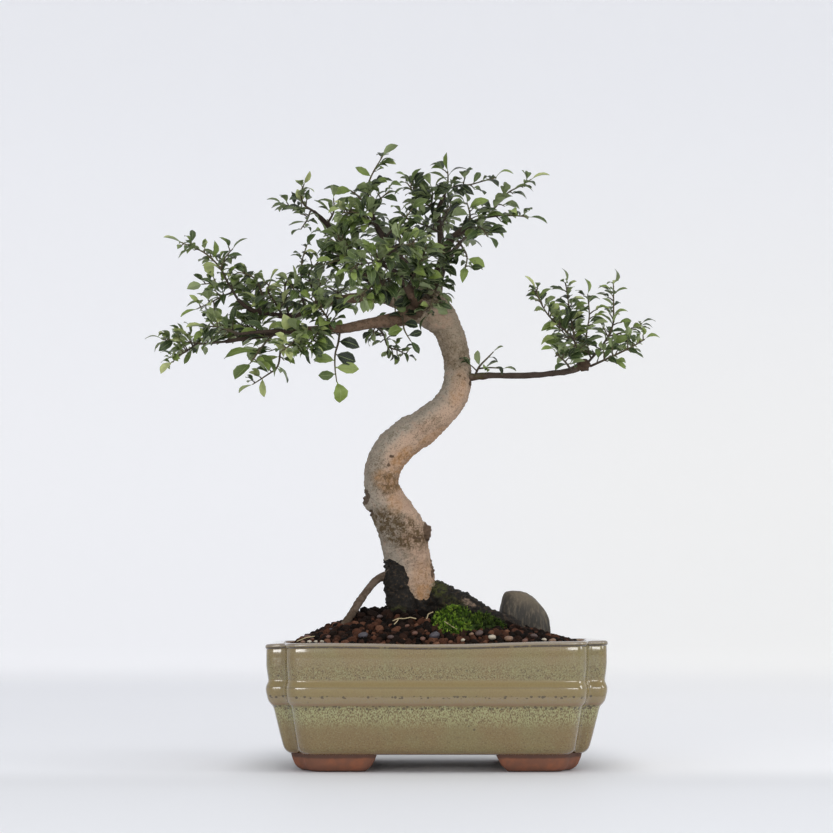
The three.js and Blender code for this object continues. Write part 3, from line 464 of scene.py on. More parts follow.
@dataclass(frozen=True)
class Bark(Finish):
    """Elm bark: grey-tan on the old bends, with crust, lichen and moss where the mesh says so."""

    name: str = "elm_bark"
    tan: Colour = srgb(170, 145, 124)
    # Painted light: the tone of the sides that face left and up, towards the light and the sky
    grey: Colour = srgb(146, 136, 122)
    upper: Colour = srgb(138, 124, 106)
    warm: Colour = srgb(158, 118, 78)
    crust: Colour = srgb(20, 17, 13)
    crust_edge: Colour = srgb(68, 54, 38)
    lichen: Colour = srgb(70, 53, 23)
    # Real algae, and also painted shade on the thick wood's sides turned away from the front
    algae_and_shade: Colour = srgb(100, 92, 74)
    moss: Colour = srgb(64, 68, 26)
    limb: Colour = srgb(100, 85, 73)
    red: Colour = srgb(104, 82, 66)
    twig: Colour = srgb(52, 42, 36)
    bare: Colour = srgb(151, 124, 104)
    scar: Colour = srgb(68, 52, 38)
    # Radii, in millimetres, between which old bark gives way to that of a limb, and that to a twig's
    limb_girth: tuple[float, float] = (7.2, 5)
    twig_girth: tuple[float, float] = (3.2, 1.6)

    def sockets(self, graph: Graph) -> dict[str, Any]:
        """Builds the bark from the numbers kept on the wood's mesh.

        Args:
            graph: The material's graph.

        Returns:
            Builds the paper's painted glow, a little brighter and warmer on the right.
        """
        place = graph.millimetres()
        across, _, height = graph.parts(place)
        warm, bare, lichen, girth = (graph.attribute(name) for name in ("warm", "bare", "lichen", "girth"))
        cloud = graph.noise(place, 16, 4)
        mottle = graph.noise(place, 3.4, 4, 0.7)
        speck = graph.noise(place, 1.0, 3, 0.7)
        lines = graph.noise(graph.stretched(place, (1, 1, 3.2)), 2.4, 4, 0.7)
        freckle = warm * graph.noise(place, 1.7, 3, 0.75).step(0.52, 0.6)
        islands = graph.noise(place, 5.5, 4, 0.65).step(0.42, 0.56)
        # Painted light: the paper glows, but not under the pot or just in front of it, where its shadow
        # falls
        grains = graph.noise(place, 2.4, 5, 0.75).step(0.37, 0.5)
        knot = (graph.attribute("knot") + (mottle - 0.5) * 1.5 + (speck - 0.5) * 0.8).step(0.42, 0.72)
        crust = (graph.attribute("crust") + (mottle - 0.5) * 0.5).step(0.34, 0.54)
        flaky = graph.noise(place, 1.9, 4, 0.7).step(0.5, 0.74)
        limb = graph.layered(
            graph.mix((height - across * 0.4 + cloud * 20).step(262, 280), self.limb, self.red),
            ((height + cloud * 20).step(304, 322), self.twig),
            (mottle.step(0.42, 0.6) * 0.75, self.scar),
            (speck.step(0.52, 0.62) * 0.5, self.algae_and_shade),
        )
        colour = graph.layered(
            self.tan,
            # Painted light: greyer where the bark faces left and up, towards the light and the sky
            ((graph.attribute("sky_lit_side") + (cloud - 0.5) * 0.9).step(0.05, 0.7), self.grey),
            ((height + cloud * 30).step(252, 276), self.upper),
            (mottle.step(0.54, 0.64) * 0.4, self.algae_and_shade),
            (mottle.step(0.46, 0.34) * 0.5, self.bare),
            (graph.noise(place, 8, 5, 0.75).step(0.52, 0.64) * 0.38, self.algae_and_shade),
            # Painted shade: the algae tone on the thick wood's sides turned away from the front
            (graph.attribute("shaded") * (0.3 + mottle * 0.7), self.algae_and_shade),
            (speck.step(0.52, 0.66) * 0.55, self.scar),
            (graph.cells(place, 2.6).step(0.2, 0.1) * cloud.step(0.4, 0.6) * 0.6, self.scar),
            (warm * (0.3 + mottle.step(0.38, 0.6) * 0.7), self.warm),
            (freckle * 0.45, self.lichen),
            (bare * (0.25 + mottle.step(0.62, 0.4) * 0.65), self.bare),
            (lichen * (0.35 + islands * 0.65) * grains * 0.9, self.lichen),
            (lichen * speck.step(0.5, 0.6) * 0.6, self.scar),
            (girth.step(*self.limb_girth), limb),
            (girth.step(*self.twig_girth) * 0.85, self.twig),
            (height.step(100, 84) * mottle.step(0.3, 0.5) * 0.9, self.crust_edge),
            (knot * 0.85, self.scar),
            (crust, graph.mix(flaky, self.crust, self.crust_edge)),
            (graph.attribute("moss") * graph.noise(place, 2.2, 4, 0.7).step(0.38, 0.6), self.moss),
            (lines.step(0.6, 0.7) * 0.35, self.scar),
        )
        relief = speck * 0.6 + mottle * 0.7 + lines * 0.6
        return {
            "Base Color": colour,
            "Roughness": 0.9 - crust * 0.12 - mottle * 0.1,
            "Normal": graph.bump(relief, 0.8, 0.9),
            "Specular IOR Level": 0.25,
        }


@dataclass(frozen=True)
class Tinted(Finish):
    """A rough surface whose colour runs along a ramp with each copy's own tint."""

    name: str
    stops: Stops
    roughness: float = 0.85
    grain: float = 1.2
    depth: float = 0.3
    mode: str = "LINEAR"
    # Where it darkens to the right, from and to this many millimetres; on most pieces nowhere
    fade: tuple[float, float] = (900.0, 901.0)
    shine: float = 0.5

    def sockets(self, graph: Graph) -> dict[str, Any]:
        """Builds the ramp, darkened by fine noise.

        Args:
            graph: The material's graph.

        Returns:
            A value for each socket of the shader.
        """
        place = graph.millimetres()
        grain = graph.noise(place, self.grain, 4, 0.7)
        darkest = self.stops[0][1]
        colour = graph.layered(
            graph.ramp(graph.attribute("tint"), self.stops, self.mode),
            (grain.step(0.55, 0.35) * 0.45, darkest),
            (graph.parts(place)[0].step(*self.fade) * 0.7, darkest),
        )
        return {
            "Base Color": colour,
            "Specular IOR Level": self.shine,
            "Roughness": self.roughness,
            "Normal": graph.bump(grain, self.depth, 0.8),
        }


@dataclass(frozen=True)
class StoneFace(Finish):
    """A water-worn stone: dark and streaked on its steep side, tan along the top and right."""

    name: str = "river_stone"
    dark: Colour = srgb(42, 38, 31)
    streak: Colour = srgb(88, 78, 62)
    tan: Colour = srgb(108, 96, 78)
    spot: Colour = srgb(24, 22, 18)

    def sockets(self, graph: Graph) -> dict[str, Any]:
        """Builds streaks that run down the stone.

        Args:
            graph: The material's graph.

        Returns:
            A value for each socket of the shader.
        """
        place = graph.millimetres()
        across, _, height = graph.parts(place)
        cloud = graph.noise(place, 9, 4, 0.6)
        streaks = graph.noise(graph.stretched(place, (1, 1, 0.25)), 1.9, 4, 0.65)
        colour = graph.layered(
            self.dark,
            (streaks.step(0.45, 0.68), self.streak),
            ((across * 0.5 + height + cloud * 16).step(132, 150) * 0.8, self.tan),
            (graph.noise(place, 1.4, 3, 0.7).step(0.6, 0.7) * 0.6, self.spot),
        )
        return {
            "Base Color": colour,
            "Roughness": 0.7,
            "Normal": graph.bump(streaks + cloud, 0.5, 0.7),
        }


@dataclass(frozen=True)
class LeafSkin(Finish):
    """Elm leaf: dark and slightly glossy above, paler below, with sunken side veins."""

    name: str = "elm_leaf"
    deep: Colour = srgb(16, 26, 14)
    middle: Colour = srgb(54, 70, 32)
    bright: Colour = srgb(114, 131, 60)
    fresh: Colour = srgb(166, 172, 116)
    under: Colour = srgb(136, 148, 104)
    vein: Colour = srgb(138, 152, 98)
    side_veins: int = 9
    vein_slant: float = 2.6

    def sockets(self, graph: Graph) -> dict[str, Any]:
        """Builds the blade from its own map: along the midrib, and out from it.

        Args:
            graph: The material's graph.

        Returns:
            A value for each socket of the shader.
        """
        along, across, _ = graph.parts(graph.out("ShaderNodeUVMap", {"uv_map": "blade"}, {}))
        out = abs(across - 0.5) * 2
        place = graph.millimetres()
        stops = ((0.0, self.deep), (0.4, self.middle), (0.75, self.bright), (1.0, self.fresh))
        wave = (along * self.side_veins - out * self.vein_slant).ping_pong(0.5) * 2
        side_vein = wave.step(0.22, 0.05) * out.step(0.98, 0.8)
        midrib = out.step(0.09, 0.03)
        colour = graph.layered(
            graph.ramp(graph.attribute("tint"), stops),
            (graph.noise(place, 4, 3).step(0.4, 0.7) * 0.25, self.deep),
            (side_vein * 0.16, self.vein),
            (midrib * 0.45, self.vein),
            (out.step(0.82, 0.97) * 0.3, self.vein),
            (graph.attribute("underside").step(0.4, 0.6) * 0.8, self.under),
        )
        return {
            "Base Color": colour,
            "Roughness": 0.34 + graph.noise(place, 2, 2) * 0.16,
            "Specular IOR Level": 0.32,
            "Normal": graph.bump(1 - side_vein * 0.6 - midrib, 0.2, 0.6),
        }


@dataclass(frozen=True)
class Plain(Finish):
    """One even colour."""

    name: str
    colour: Colour
    roughness: float
    metallic: float = 0.0

    def sockets(self, graph: Graph) -> dict[str, Any]:
        """Sets the even surface."""
        return {"Base Color": self.colour, "Roughness": self.roughness, "Metallic": self.metallic}


def curve_through(points: Sequence[Sequence[float]], steps: int) -> np.ndarray:
    """A smooth path through given points.

    Args:
        points: One row for each point; extra columns, such as a radius, are carried along.
        steps: Stretches between one point and the next.

    Returns:
        The rows of the finer path, with both ends kept.
    """
    points = np.array(points, float)
    padded = np.vstack([2 * points[0] - points[1], points, 2 * points[-1] - points[-2]])
    rows = []
    for first, start, end, last in zip(padded, padded[1:], padded[2:], padded[3:]):
        for share in np.arange(steps) / steps:
            rows.append(0.5 * (
                2 * start + (end - first) * share
                + (2 * first - 5 * start + 4 * end - last) * share ** 2
                + (3 * start - first - 3 * end + last) * share ** 3
            ))
    return np.array([*rows, points[-1]])


def arc(centre: tuple[float, float], radius: float, start: float, end: float, count: int) -> list:
    """Points along an arc, in degrees, with both ends."""
    angles = np.radians(np.linspace(start, end, count))
    return [(centre[0] + radius * math.cos(a), centre[1] + radius * math.sin(a)) for a in angles]


def turns(count: int) -> np.ndarray:
    """Angles that divide a full turn evenly, from 0."""
    return np.arange(count) * math.tau / count


def clouds(spots: Iterable[Sequence[float]], *sizes: tuple[float, float]) -> np.ndarray:
    """Cloudy noise.

    Args:
        spots: The places.
        sizes: Strength and size, in millimetres, of each layer of noise.

    Returns:
        The sum of the layers at each place.
    """
    return np.array([
        sum(share * noise.noise(Vector(spot) / size) for share, size in sizes) for spot in spots
    ])


def ring_faces(first: int, levels: int, count: int) -> list[list[int]]:
    """Faces between rings of points.

    Args:
        first: Number of the first ring's first point.
        levels: How many rings there are.
        count: Points in each ring.

    Returns:
        The corners of each face.
    """
    faces = []
    for low in range(first, first + (levels - 1) * count, count):
        high = low + count
        for side in range(count):
            follows = (side + 1) % count
            faces.append([low + side, low + follows, high + follows, high + side])
    return faces


def world_spots(spots: Any) -> np.ndarray:
    """Places given in millimetres from the middle of the pot's underside, in the frame's metres."""
    return np.asarray(spots, float) * MM + POT_CENTRE


def placed(name: str, data: Any) -> bpy.types.Object:
    """Puts a new object in the scene, at the origin.

    Args:
        name: Its name.
        data: Its mesh, light or camera.

    Returns:
        The object.
    """
    made = bpy.data.objects.new(name, data)
    bpy.context.scene.collection.objects.link(made)
    return made


class Skin:
    """Collects closed skins in millimetres from the middle of the pot's underside."""

    def __init__(self) -> None:
        """Starts empty."""
        self.vertices: list[Point] = []
        self.faces: list[list[int]] = []

    def loft(self, rings: Sequence[np.ndarray]) -> None:
        """Adds a closed skin with flat ends.

        Args:
            rings: The rings that it runs over, each counter-clockwise seen from the last.
        """
        first, count = len(self.vertices), len(rings[0])
        for ring in rings:
            self.vertices.extend(map(tuple, ring))
        last = len(self.vertices) - count
        self.faces += ring_faces(first, len(rings), count)
        self.faces += [list(range(first + count - 1, first - 1, -1)), list(range(last, last + count))]

    def tube(self, path: np.ndarray, sides: int, flute: float = 0.0) -> None:
        """Adds a round tube.

        Args:
            path: Rows of x, y, z and radius.
            sides: Points round the tube.
            flute: How far the section waves in and out, as a share of the radius.
        """
        centres, radii = path[:, :3], path[:, 3]
        along = np.gradient(centres, axis=0)
        across = np.cross((0.0, 1.0, 0.0), along[0])
        angles = turns(sides)
        cosines, sines = np.cos(angles)[:, None], np.sin(angles)[:, None]
        rings = []
        for number, (centre, radius, way) in enumerate(zip(centres, radii, map(unit, along))):
            across = unit(across - way * across.dot(way))
            up = np.cross(way, across)
            wave = np.sin(3 * angles + 0.15 * number) + 0.7 * np.sin(4 * angles - 0.2 * number)
            reach = (radius * (1 + flute * wave))[:, None]
            rings.append(centre + reach * (cosines * across + sines * up))
        self.loft(rings)

    def slab(self, top: np.ndarray, bottom: np.ndarray) -> None:
        """Adds a closed slab.

        Args:
            top: Grid of points, rows by columns by 3.
            bottom: The grid under it.
        """
        rows, columns = top.shape[:2]
        below = rows * columns
        grid = len(self.vertices) + np.arange(below).reshape(rows, columns)
        for level in (top, bottom):
            self.vertices.extend(map(tuple, level.reshape(-1, 3)))
        corners = (grid[:-1, :-1], grid[:-1, 1:], grid[1:, 1:], grid[1:, :-1])
        for quad in np.stack(corners, axis=-1).reshape(-1, 4).tolist():
            self.faces += [quad, [below + corner for corner in reversed(quad)]]
        rim = [*grid[0, :-1], *grid[:-1, -1], *grid[-1, :0:-1], *grid[:0:-1, 0]]
        for corner, follows in zip(rim, rim[1:] + rim[:1]):
            self.faces.append([int(c) for c in (corner, corner + below, follows + below, follows)])

    def piece(self, name: str, material: bpy.types.Material, crease: float = 40) -> bpy.types.Object:
        """Makes the Blender object.

        Args:
            name: Its name.
            material: Its finish.
            crease: Edges sharper than this many degrees stay sharp.

        Returns:
            The object, in the scene.
        """
        mesh = bpy.data.meshes.new(name)
        mesh.from_pydata(world_spots(self.vertices).tolist(), [], self.faces)
        mesh.materials.append(material)
        smooth_mesh(mesh, crease)
        return placed(name, mesh)


def smooth_mesh(mesh: bpy.types.Mesh, crease: float = 180) -> None:
    """Shades a mesh smooth, but for edges sharper than crease degrees."""
    mesh.shade_smooth()
    if crease < 180:
        mesh.set_sharp_from_angle(angle=math.radians(crease))


def mesh_rows(mesh: bpy.types.Mesh) -> tuple[np.ndarray, np.ndarray]:
    """Reads a mesh.

    Args:
        mesh: The mesh.

    Returns:
        Its points, in millimetres from the middle of the pot's underside, and their normals.
    """
    flat, normals = np.empty((2, len(mesh.vertices) * 3), np.float32)
    mesh.vertices.foreach_get("co", flat)
    mesh.vertex_normals.foreach_get("vector", normals)
    return (flat.reshape(-1, 3) - POT_CENTRE) / MM, normals.reshape(-1, 3)


def keep_numbers(mesh: bpy.types.Mesh, **fields: Any) -> None:
    """Keeps numbers on the mesh's points.

    Args:
        mesh: The mesh.
        fields: For each name, one number for all points, or a row of numbers, whole numbers or vectors.
    """
    for label, given in fields.items():
        rows = np.asarray(given)
        if rows.ndim == 2:
            kept = mesh.attributes.new(label, "FLOAT_VECTOR", "POINT")
            kept.data.foreach_set("vector", rows.astype(np.float32).ravel())
            continue
        kind, width = ("INT", np.int32) if rows.dtype.kind == "i" else ("FLOAT", np.float32)
        rows = np.ascontiguousarray(np.broadcast_to(rows.astype(width), len(mesh.vertices)))
        mesh.attributes.new(label, kind, "POINT").data.foreach_set("value", rows)


def settle(source: bpy.types.Object, name: str) -> bpy.types.Object:
    """Turns an object with its modifiers into a plain mesh object, and drops the source.

    Args:
        source: The object, which is used up.
        name: The new object's name.

    Returns:
        The plain object.
    """
    evaluated = source.evaluated_get(bpy.context.evaluated_depsgraph_get())
    mesh = bpy.data.meshes.new_from_object(evaluated)
    mesh.name = name
    bpy.data.objects.remove(source)
    return placed(name, mesh)


def stand_for(piece: bpy.types.Object, slot: str, *nodes: str) -> bpy.types.Object:
    """Puts a finished piece on the body.

    Args:
        piece: The piece.
        slot: Its material slot; not used.
        nodes: The frame's nodes that it stands for.

    Returns:
        The piece.
    """
    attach(piece, "root")
    if nodes:
        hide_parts(*nodes)
    count = sum(len(face.vertices) - 2 for face in piece.data.polygons)
    LOG.info("%s: %d triangles", piece.name, count)
    return piece


class Rig:
    """A Geometry Nodes tree with named inputs."""

    def __init__(self, name: str, inputs: dict[str, str]) -> None:
        """Makes the tree.

        Args:
            name: The tree's name.
            inputs: The socket type of each named input, after the geometry.
        """
        self.tree = bpy.data.node_groups.new(name, "GeometryNodeTree")
        shape = "NodeSocketGeometry"
        self.tree.interface.new_socket(name="Geometry", in_out="OUTPUT", socket_type=shape)
        for label, kind in {"Geometry": shape, **inputs, "Material": "NodeSocketMaterial"}.items():
            self.tree.interface.new_socket(name=label, in_out="INPUT", socket_type=kind)
        self.graph = Graph(self.tree)
        self.entry = self.tree.nodes.new("NodeGroupInput")

    def given(self, name: str) -> Value:
        """One of the tree's inputs."""
        return Value(self.graph, self.entry.outputs[name])

    def named(self, name: str, kind: str) -> Value:
        """An attribute of the geometry."""
        return self.graph.out("GeometryNodeInputNamedAttribute", {"data_type": kind}, {"Name": name})

    def random(self, kind: str, low: Any, high: Any, seed: int) -> Value:
        """A seeded random value for each point."""
        span = {"Min": low, "Max": high, "Seed": seed}
        return self.graph.out("FunctionNodeRandomValue", {"data_type": kind}, span)

    def copies(self, points: Value, pick: Value, turn: Value, size: Value) -> None:
        """Puts one of the given shapes on each point, and ends the tree.

        Args:
            points: The points.
            pick: Number of the shape for each point; it wraps round.
            turn: Each copy's rotation.
            size: Each copy's scale.
        """
        whole = {"Collection": self.given("Shapes"), "Separate Children": True, "Reset Children": True}
        self.end(self.graph.out("GeometryNodeInstanceOnPoints", {}, {
            "Points": points,
            "Instance": self.graph.out("GeometryNodeCollectionInfo", {}, whole),
            "Pick Instance": True,
            "Instance Index": pick,
            "Rotation": turn,
            "Scale": size,
        }))

    def end(self, shape: Value) -> None:
        """Realizes the copies, gives them the material and ends the tree.

        Args:
            shape: The geometry to end with.
        """
        real = self.graph.out("GeometryNodeRealizeInstances", {}, {"Geometry": shape})
        dressed = {"Geometry": real, "Material": self.given("Material")}
        made = self.graph.out("GeometryNodeSetMaterial", {}, dressed)
        self.graph.node("NodeGroupOutput", {}, {"Geometry": made})

    def grow(self, source: bpy.types.Object, name: str, **values: Any) -> bpy.types.Object:
        """Runs the tree on a source object and keeps the result as a plain mesh.

        Args:
            source: The object whose geometry goes in; it is used up.
            name: The new piece's name.
            values: A value for each named input, and crease, the angle over which edges stay sharp.

        Returns:
            The new piece.
        """
        modifier = source.modifiers.new("grow", "NODES")
        modifier.node_group = self.tree
        for item in self.tree.interface.items_tree:
            if item.in_out == "INPUT" and item.name.lower() in values:
                modifier[item.identifier] = values[item.name.lower()]
        made = settle(source, name)
        smooth_mesh(made.data, values.get("crease", 180))
        return made


def posed_copies() -> Rig:
    """Copies of shapes on points that hold each copy's own pose, size and tint.

    Returns:
        The tree.
    """
    rig = Rig("posed_copies", {"Shapes": "NodeSocketCollection"})
    axes = {"primary_axis": "Z", "secondary_axis": "X"}
    ways = {0: rig.named("up", "FLOAT_VECTOR"), 1: rig.named("along", "FLOAT_VECTOR")}
    turn = rig.graph.out("FunctionNodeAxesToRotation", axes, ways)
    rig.copies(rig.given("Geometry"), rig.named("kind", "INT"), turn, rig.named("size", "FLOAT_VECTOR"))
    return rig


def strewn_copies() -> Rig:
    """Copies of shapes strewn over a surface at random, never nearer than a gap.

    Returns:
        The tree.
    """
    rig = Rig("strewn_copies", {
        "Shapes": "NodeSocketCollection",
        "Gap": "NodeSocketFloat",
        "Smallest": "NodeSocketFloat",
        "Largest": "NodeSocketFloat",
        "Tumble": "NodeSocketFloat",
        "Seed": "NodeSocketInt",
    })
    graph = rig.graph
    points = graph.out("GeometryNodeDistributePointsOnFaces", {"distribute_method": "POISSON"}, {
        "Mesh": rig.given("Geometry"),
        "Distance Min": rig.given("Gap"),
        "Density Max": 4e5,
        "Seed": rig.given("Seed"),
    })
    kept = {"Geometry": points, "Name": "tint", "Value": rig.random("FLOAT", 0.0, 1.0, 5)}
    tinted = graph.out("GeometryNodeStoreNamedAttribute", {"data_type": "FLOAT", "domain": "POINT"}, kept)
    tumble = rig.given("Tumble")
    lean = graph.out("ShaderNodeCombineXYZ", {}, {0: tumble, 1: tumble, 2: math.tau})
    back = graph.out("ShaderNodeCombineXYZ", {}, {0: 0 - tumble, 1: 0 - tumble, 2: 0.0})
    turn = rig.random("FLOAT_VECTOR", back, lean, 7)
    size = rig.random("FLOAT", rig.given("Smallest"), rig.given("Largest"), 9)
    rig.copies(tinted, rig.random("INT", 0, 99, 11), turn, size)
    return rig


def round_twigs() -> Rig:
    """Round twigs along edges that hold their own radius.

    Returns:
        The tree.
    """
    rig = Rig("round_twigs", {"Sides": "NodeSocketInt"})
    graph = rig.graph
    sides = {"Resolution": rig.given("Sides"), "Radius": 1.0}
    rig.end(graph.out("GeometryNodeCurveToMesh", {}, {
        "Curve": graph.out("GeometryNodeMeshToCurve", {}, {0: rig.given("Geometry")}),
        "Profile Curve": graph.out("GeometryNodeCurvePrimitiveCircle", {}, sides),
        "Scale": rig.named("thick", "FLOAT"),
        "Fill Caps": True,
    }))
    return rig


def points_object(
    name: str, spots: np.ndarray, edges: Sequence[tuple[int, int]] = (), **fields: np.ndarray
) -> bpy.types.Object:
    """A mesh of loose points or lines that holds numbers for each point.

    Args:
        name: The object's name.
        spots: Places in millimetres from the middle of the pot's underside.
        edges: Pairs of points joined by a line.
        fields: A row of numbers, whole numbers or vectors for each named attribute.

    Returns:
        The object, to be used up by a rig.
    """
    mesh = bpy.data.meshes.new(name)
    mesh.from_pydata(world_spots(spots).tolist(), list(edges), [])
    keep_numbers(mesh, **fields)
    return placed(name, mesh)


def chain(first: int, count: int) -> list[tuple[int, int]]:
    """Edges that join count points in a row."""
    return [(number, number + 1) for number in range(first, first + count - 1)]


def shape_box(name: str, meshes: Iterable[bpy.types.Mesh]) -> bpy.types.Collection:
    """Collects shapes to be copied.

    Args:
        name: The collection's name.
        meshes: The shapes.

    Returns:
        The collection, outside the scene.
    """
    made = bpy.data.collections.new(name)
    for number, mesh in enumerate(meshes):
        made.objects.link(bpy.data.objects.new(f"{name}_{number:02d}", mesh))
    return made


@dataclass(frozen=True)
class StepCorneredOutline:
    """Plan of the pot: long faces that stand out past stepped corners. Millimetres."""

    half_length: float = 105
    half_width: float = 77.5
    step_x: float = 13
    step_y: float = 14
    step_fade: float = 0.35
    face_radius: float = 9
    end_share: float = 0.5
    inner_share: float = 0.37
    # The parts of a quarter that a foot follows: the end's corner, and the long face's
    foot_parts: tuple[slice, slice] = (slice(7, 15), slice(23, 34))

    def quarter(self, inset: float) -> list[tuple[float, float]]:
        """One quarter of the outline.

        Args:
            inset: How far it lies inside the rim's.

        Returns:
            Its points, from the middle of the right end to the middle of the back.
        """
        length, width = self.half_length - inset, self.half_width - inset
        step = self.step_x - self.step_fade * inset
        step_x, step_y = length - step, width - self.step_y
        end, inner, turn = self.end_share * step, self.inner_share * step, self.face_radius
        return [
            *[(length, y) for y in np.linspace(0, step_y - end, 8)[:-1]],
            *arc((length - end, step_y - end), end, 0, 90, 9),
            *arc((step_x + inner, step_y + inner), inner, -90, -180, 6),
            *arc((step_x - turn, width - turn), turn, 0, 90, 12),
            *[(x, width) for x in np.linspace(step_x - turn, 0, 15)[1:]],
        ]

    def ring(self, inset: float, height: float) -> np.ndarray:
        """The whole outline.

        Args:
            inset: How far it lies inside the rim's.
            height: How high it lies.

        Returns:
            Its points, counter-clockwise seen from above.
        """
        first = self.quarter(inset)
        half = [*first[:-1], *[(-x, y) for x, y in reversed(first)][:-1]]
        return np.array([(x, y, height) for x, y in [*half, *[(-x, -y) for x, y in half]]])


@dataclass
class Pot:
    """The glazed pot, with its lip, belt and bare clay feet. Millimetres."""

    outline: StepCorneredOutline = field(default_factory=StepCorneredOutline)
    drain_span: tuple[float, float] = (7.5, 17)
    drain_radius: float = 7.5
    drain_x: float = 45
    crease: float = 50
    wobble: float = 0.0022
    wobble_size: Point = (45, 45, 60)
    inner_from: float = 70
    # Outer profile from the underside up, over the rim and down inside: height, and inset from the rim
    profile: tuple[tuple[float, float], ...] = (
        (10.5, 16.8), (10.6, 15.3), (11.1, 14.0), (12.4, 12.4), (13.9, 11.3), (15.6, 10.6), (18.5, 9.8),
        (23, 8.6), (28, 7.4), (33.5, 6.1), (37, 5.3), (38.9, 4.8), (39.9, 4.3), (40.8, 3.5), (41.8, 2.7),
        (42.8, 2.05), (43.8, 1.6), (45, 1.25), (46.4, 0.95), (48.4, 0.5), (50.2, 0.35), (51.3, 0.4),
        (52.3, 0.6), (53.4, 1.0), (54.3, 1.4), (55, 1.65), (56, 1.75), (58, 1.5), (60.5, 1.15),
        (63, 0.8), (66, 0.62), (72, 0.6), (74.9, 0.66), (75.3, 0.75), (75.7, 0.45), (76.1, 0.12),
        (76.8, 0), (77.5, 0.05), (78, 0.25), (78.4, 0.7), (78.55, 1.5), (78.6, 3.2), (78.45, 4.9),
        (78.1, 5.7), (77.4, 6.3), (76, 6.6), (72, 7.2), (56, 9.2), (36, 12.1), (20, 15.5), (16, 17.5),
        (14, 20),
    )
    # A foot from the ground up: height, inset, and the x and y where it ends along the two faces
    foot_profile: tuple[tuple[float, float, float, float], ...] = (
        (0, 22.4, 43.8, 27.8), (0.3, 21.7, 43.3, 27.3), (0.9, 20.6, 42.8, 26.8), (2, 19.0, 41.6, 25.9),
        (4, 17.6, 39.6, 24.4), (7.6, 16.1, 37.6, 22.8), (10.3, 15.4, 36.6, 21.9), (11, 15.3, 36.4, 21.7),
    )
    foot_chamfer: tuple[float, float] = (3, 2)
    # How far the hand-made rim stands over or under its level: x and height
    front_rim: tuple[tuple[float, float], ...] = (
        (-105, -0.9), (-92, -0.2), (-70, 0.1), (-45, -0.1), (-10, -0.7), (20, -0.5), (60, 0.9), (92, 1.2),
        (105, 1.5),
    )
    back_rim: tuple[tuple[float, float], ...] = ((-105, -0.6), (0, 0.2), (105, 0.9))

    def build(self) -> None:
        """Makes the glazed body and the clay feet."""
        stand_for(self.body(), "glaze", "pot")
        stand_for(self.feet(), "glaze", "pot")

    def rim_lift(self, spots: np.ndarray) -> np.ndarray:
        """How far the uneven rim moves each place.

        Args:
            spots: Rows of x, y and z.

        Returns:
            Millimetres up for each row; none below the belt.
        """
        rims = (self.front_rim, self.back_rim)
        front, back = (np.interp(spots[:, 0], *np.array(rim, float).T) for rim in rims)
        share = np.clip(0.5 - spots[:, 1] / 120, 0, 1)
        return (front * share + back * (1 - share)) * smooth_step(56, 78, spots[:, 2])

    def body(self) -> bpy.types.Object:
        """The body as one skin up the outside and down the inside, with its drain holes cut.

        Returns:
            The piece.
        """
        skin = Skin()
        rings = []
        for height, inset in self.profile:
            ring = self.outline.ring(inset, height)
            ring[:, 2] += self.rim_lift(ring)
            flat = np.column_stack([ring[:, :2], np.full(len(ring), height)])
            wobble = clouds(flat / self.wobble_size, (1, 1))
            ring[:, :2] *= (1 + self.wobble * wobble * smooth_step(10, 30, height))[:, None]
            rings.append(ring)
        skin.loft(rings)
        whole = skin.piece("pot_body_source", Glaze().material(), self.crease)
        drains = Skin()
        for side in (-1, 1):
            round_hole = arc((side * self.drain_x, 0), self.drain_radius, 0, 352.5, 48)
            drains.loft([np.array([(x, y, z) for x, y in round_hole]) for z in self.drain_span])
        cutter = drains.piece("drain_cutter", whole.data.materials[0])
        cut = whole.modifiers.new("drains", "BOOLEAN")
        cut.operation = "DIFFERENCE"
        cut.object = cutter
        made = settle(whole, "pot_glazed_body")
        bpy.data.objects.remove(cutter)
        smooth_mesh(made.data, self.crease)
        spots, normals = mesh_rows(made.data)
        inner = ((normals * spots)[:, :2].sum(axis=1) < -8) & (spots[:, 2] > self.inner_from)
        keep_numbers(made.data, level=spots[:, 2] - self.rim_lift(spots), inner=inner)
        return made

    def feet(self) -> bpy.types.Object:
        """Four bracket feet that follow the stepped outline.

        Returns:
            The piece.
        """
        skin = Skin()
        for side_x, side_y in ((-1, -1), (-1, 1), (1, -1), (1, 1)):
            rings = []
            for height, inset, gap_x, gap_y in self.foot_profile:
                whole = self.outline.quarter(inset)
                corners = [spot for part in self.outline.foot_parts for spot in whole[part]]
                end, front = corners[0][0], corners[-1][1]
                cut_x, cut_y = self.foot_chamfer
                flat = [(gap_x, gap_y), (end - cut_x, gap_y), (end, gap_y + cut_y), *corners]
                flat += [(gap_x + cut_x, front), (gap_x, front - cut_y)]
                ring = np.array([(side_x * x, side_y * y, height) for x, y in flat])
                rings.append(ring if side_x * side_y > 0 else ring[::-1])
            skin.loft(rings)
        return skin.piece("pot_clay_feet", Clay().material(), self.crease)


@dataclass
class Mound:
    """The soil's surface, which rises to a crown round the trunk. Millimetres."""

    edge_height: float = 75
    rise: float = 22.5
    peak_x: float = -18
    reach: tuple[float, float] = (75, 115)
    fall: tuple[float, float] = (2, 1.7)
    reach_y: float = 71.5
    fall_y: float = 2.2

    def height(self, x: Any, y: Any) -> Any:
        """How high the soil stands.

        Args:
            x: Places to the right of the pot's middle.
            y: Places behind it.

        Returns:
            The height over the table at each place.
        """
        left = np.asarray(x) < self.peak_x
        reach, fall = (np.where(left, *pair) for pair in (self.reach, self.fall))
        along = np.minimum(1, np.abs(x - self.peak_x) / reach)
        across = np.minimum(1, np.abs(y) / self.reach_y)
        return self.edge_height + self.rise * (1 - along ** fall) * (1 - across ** self.fall_y)


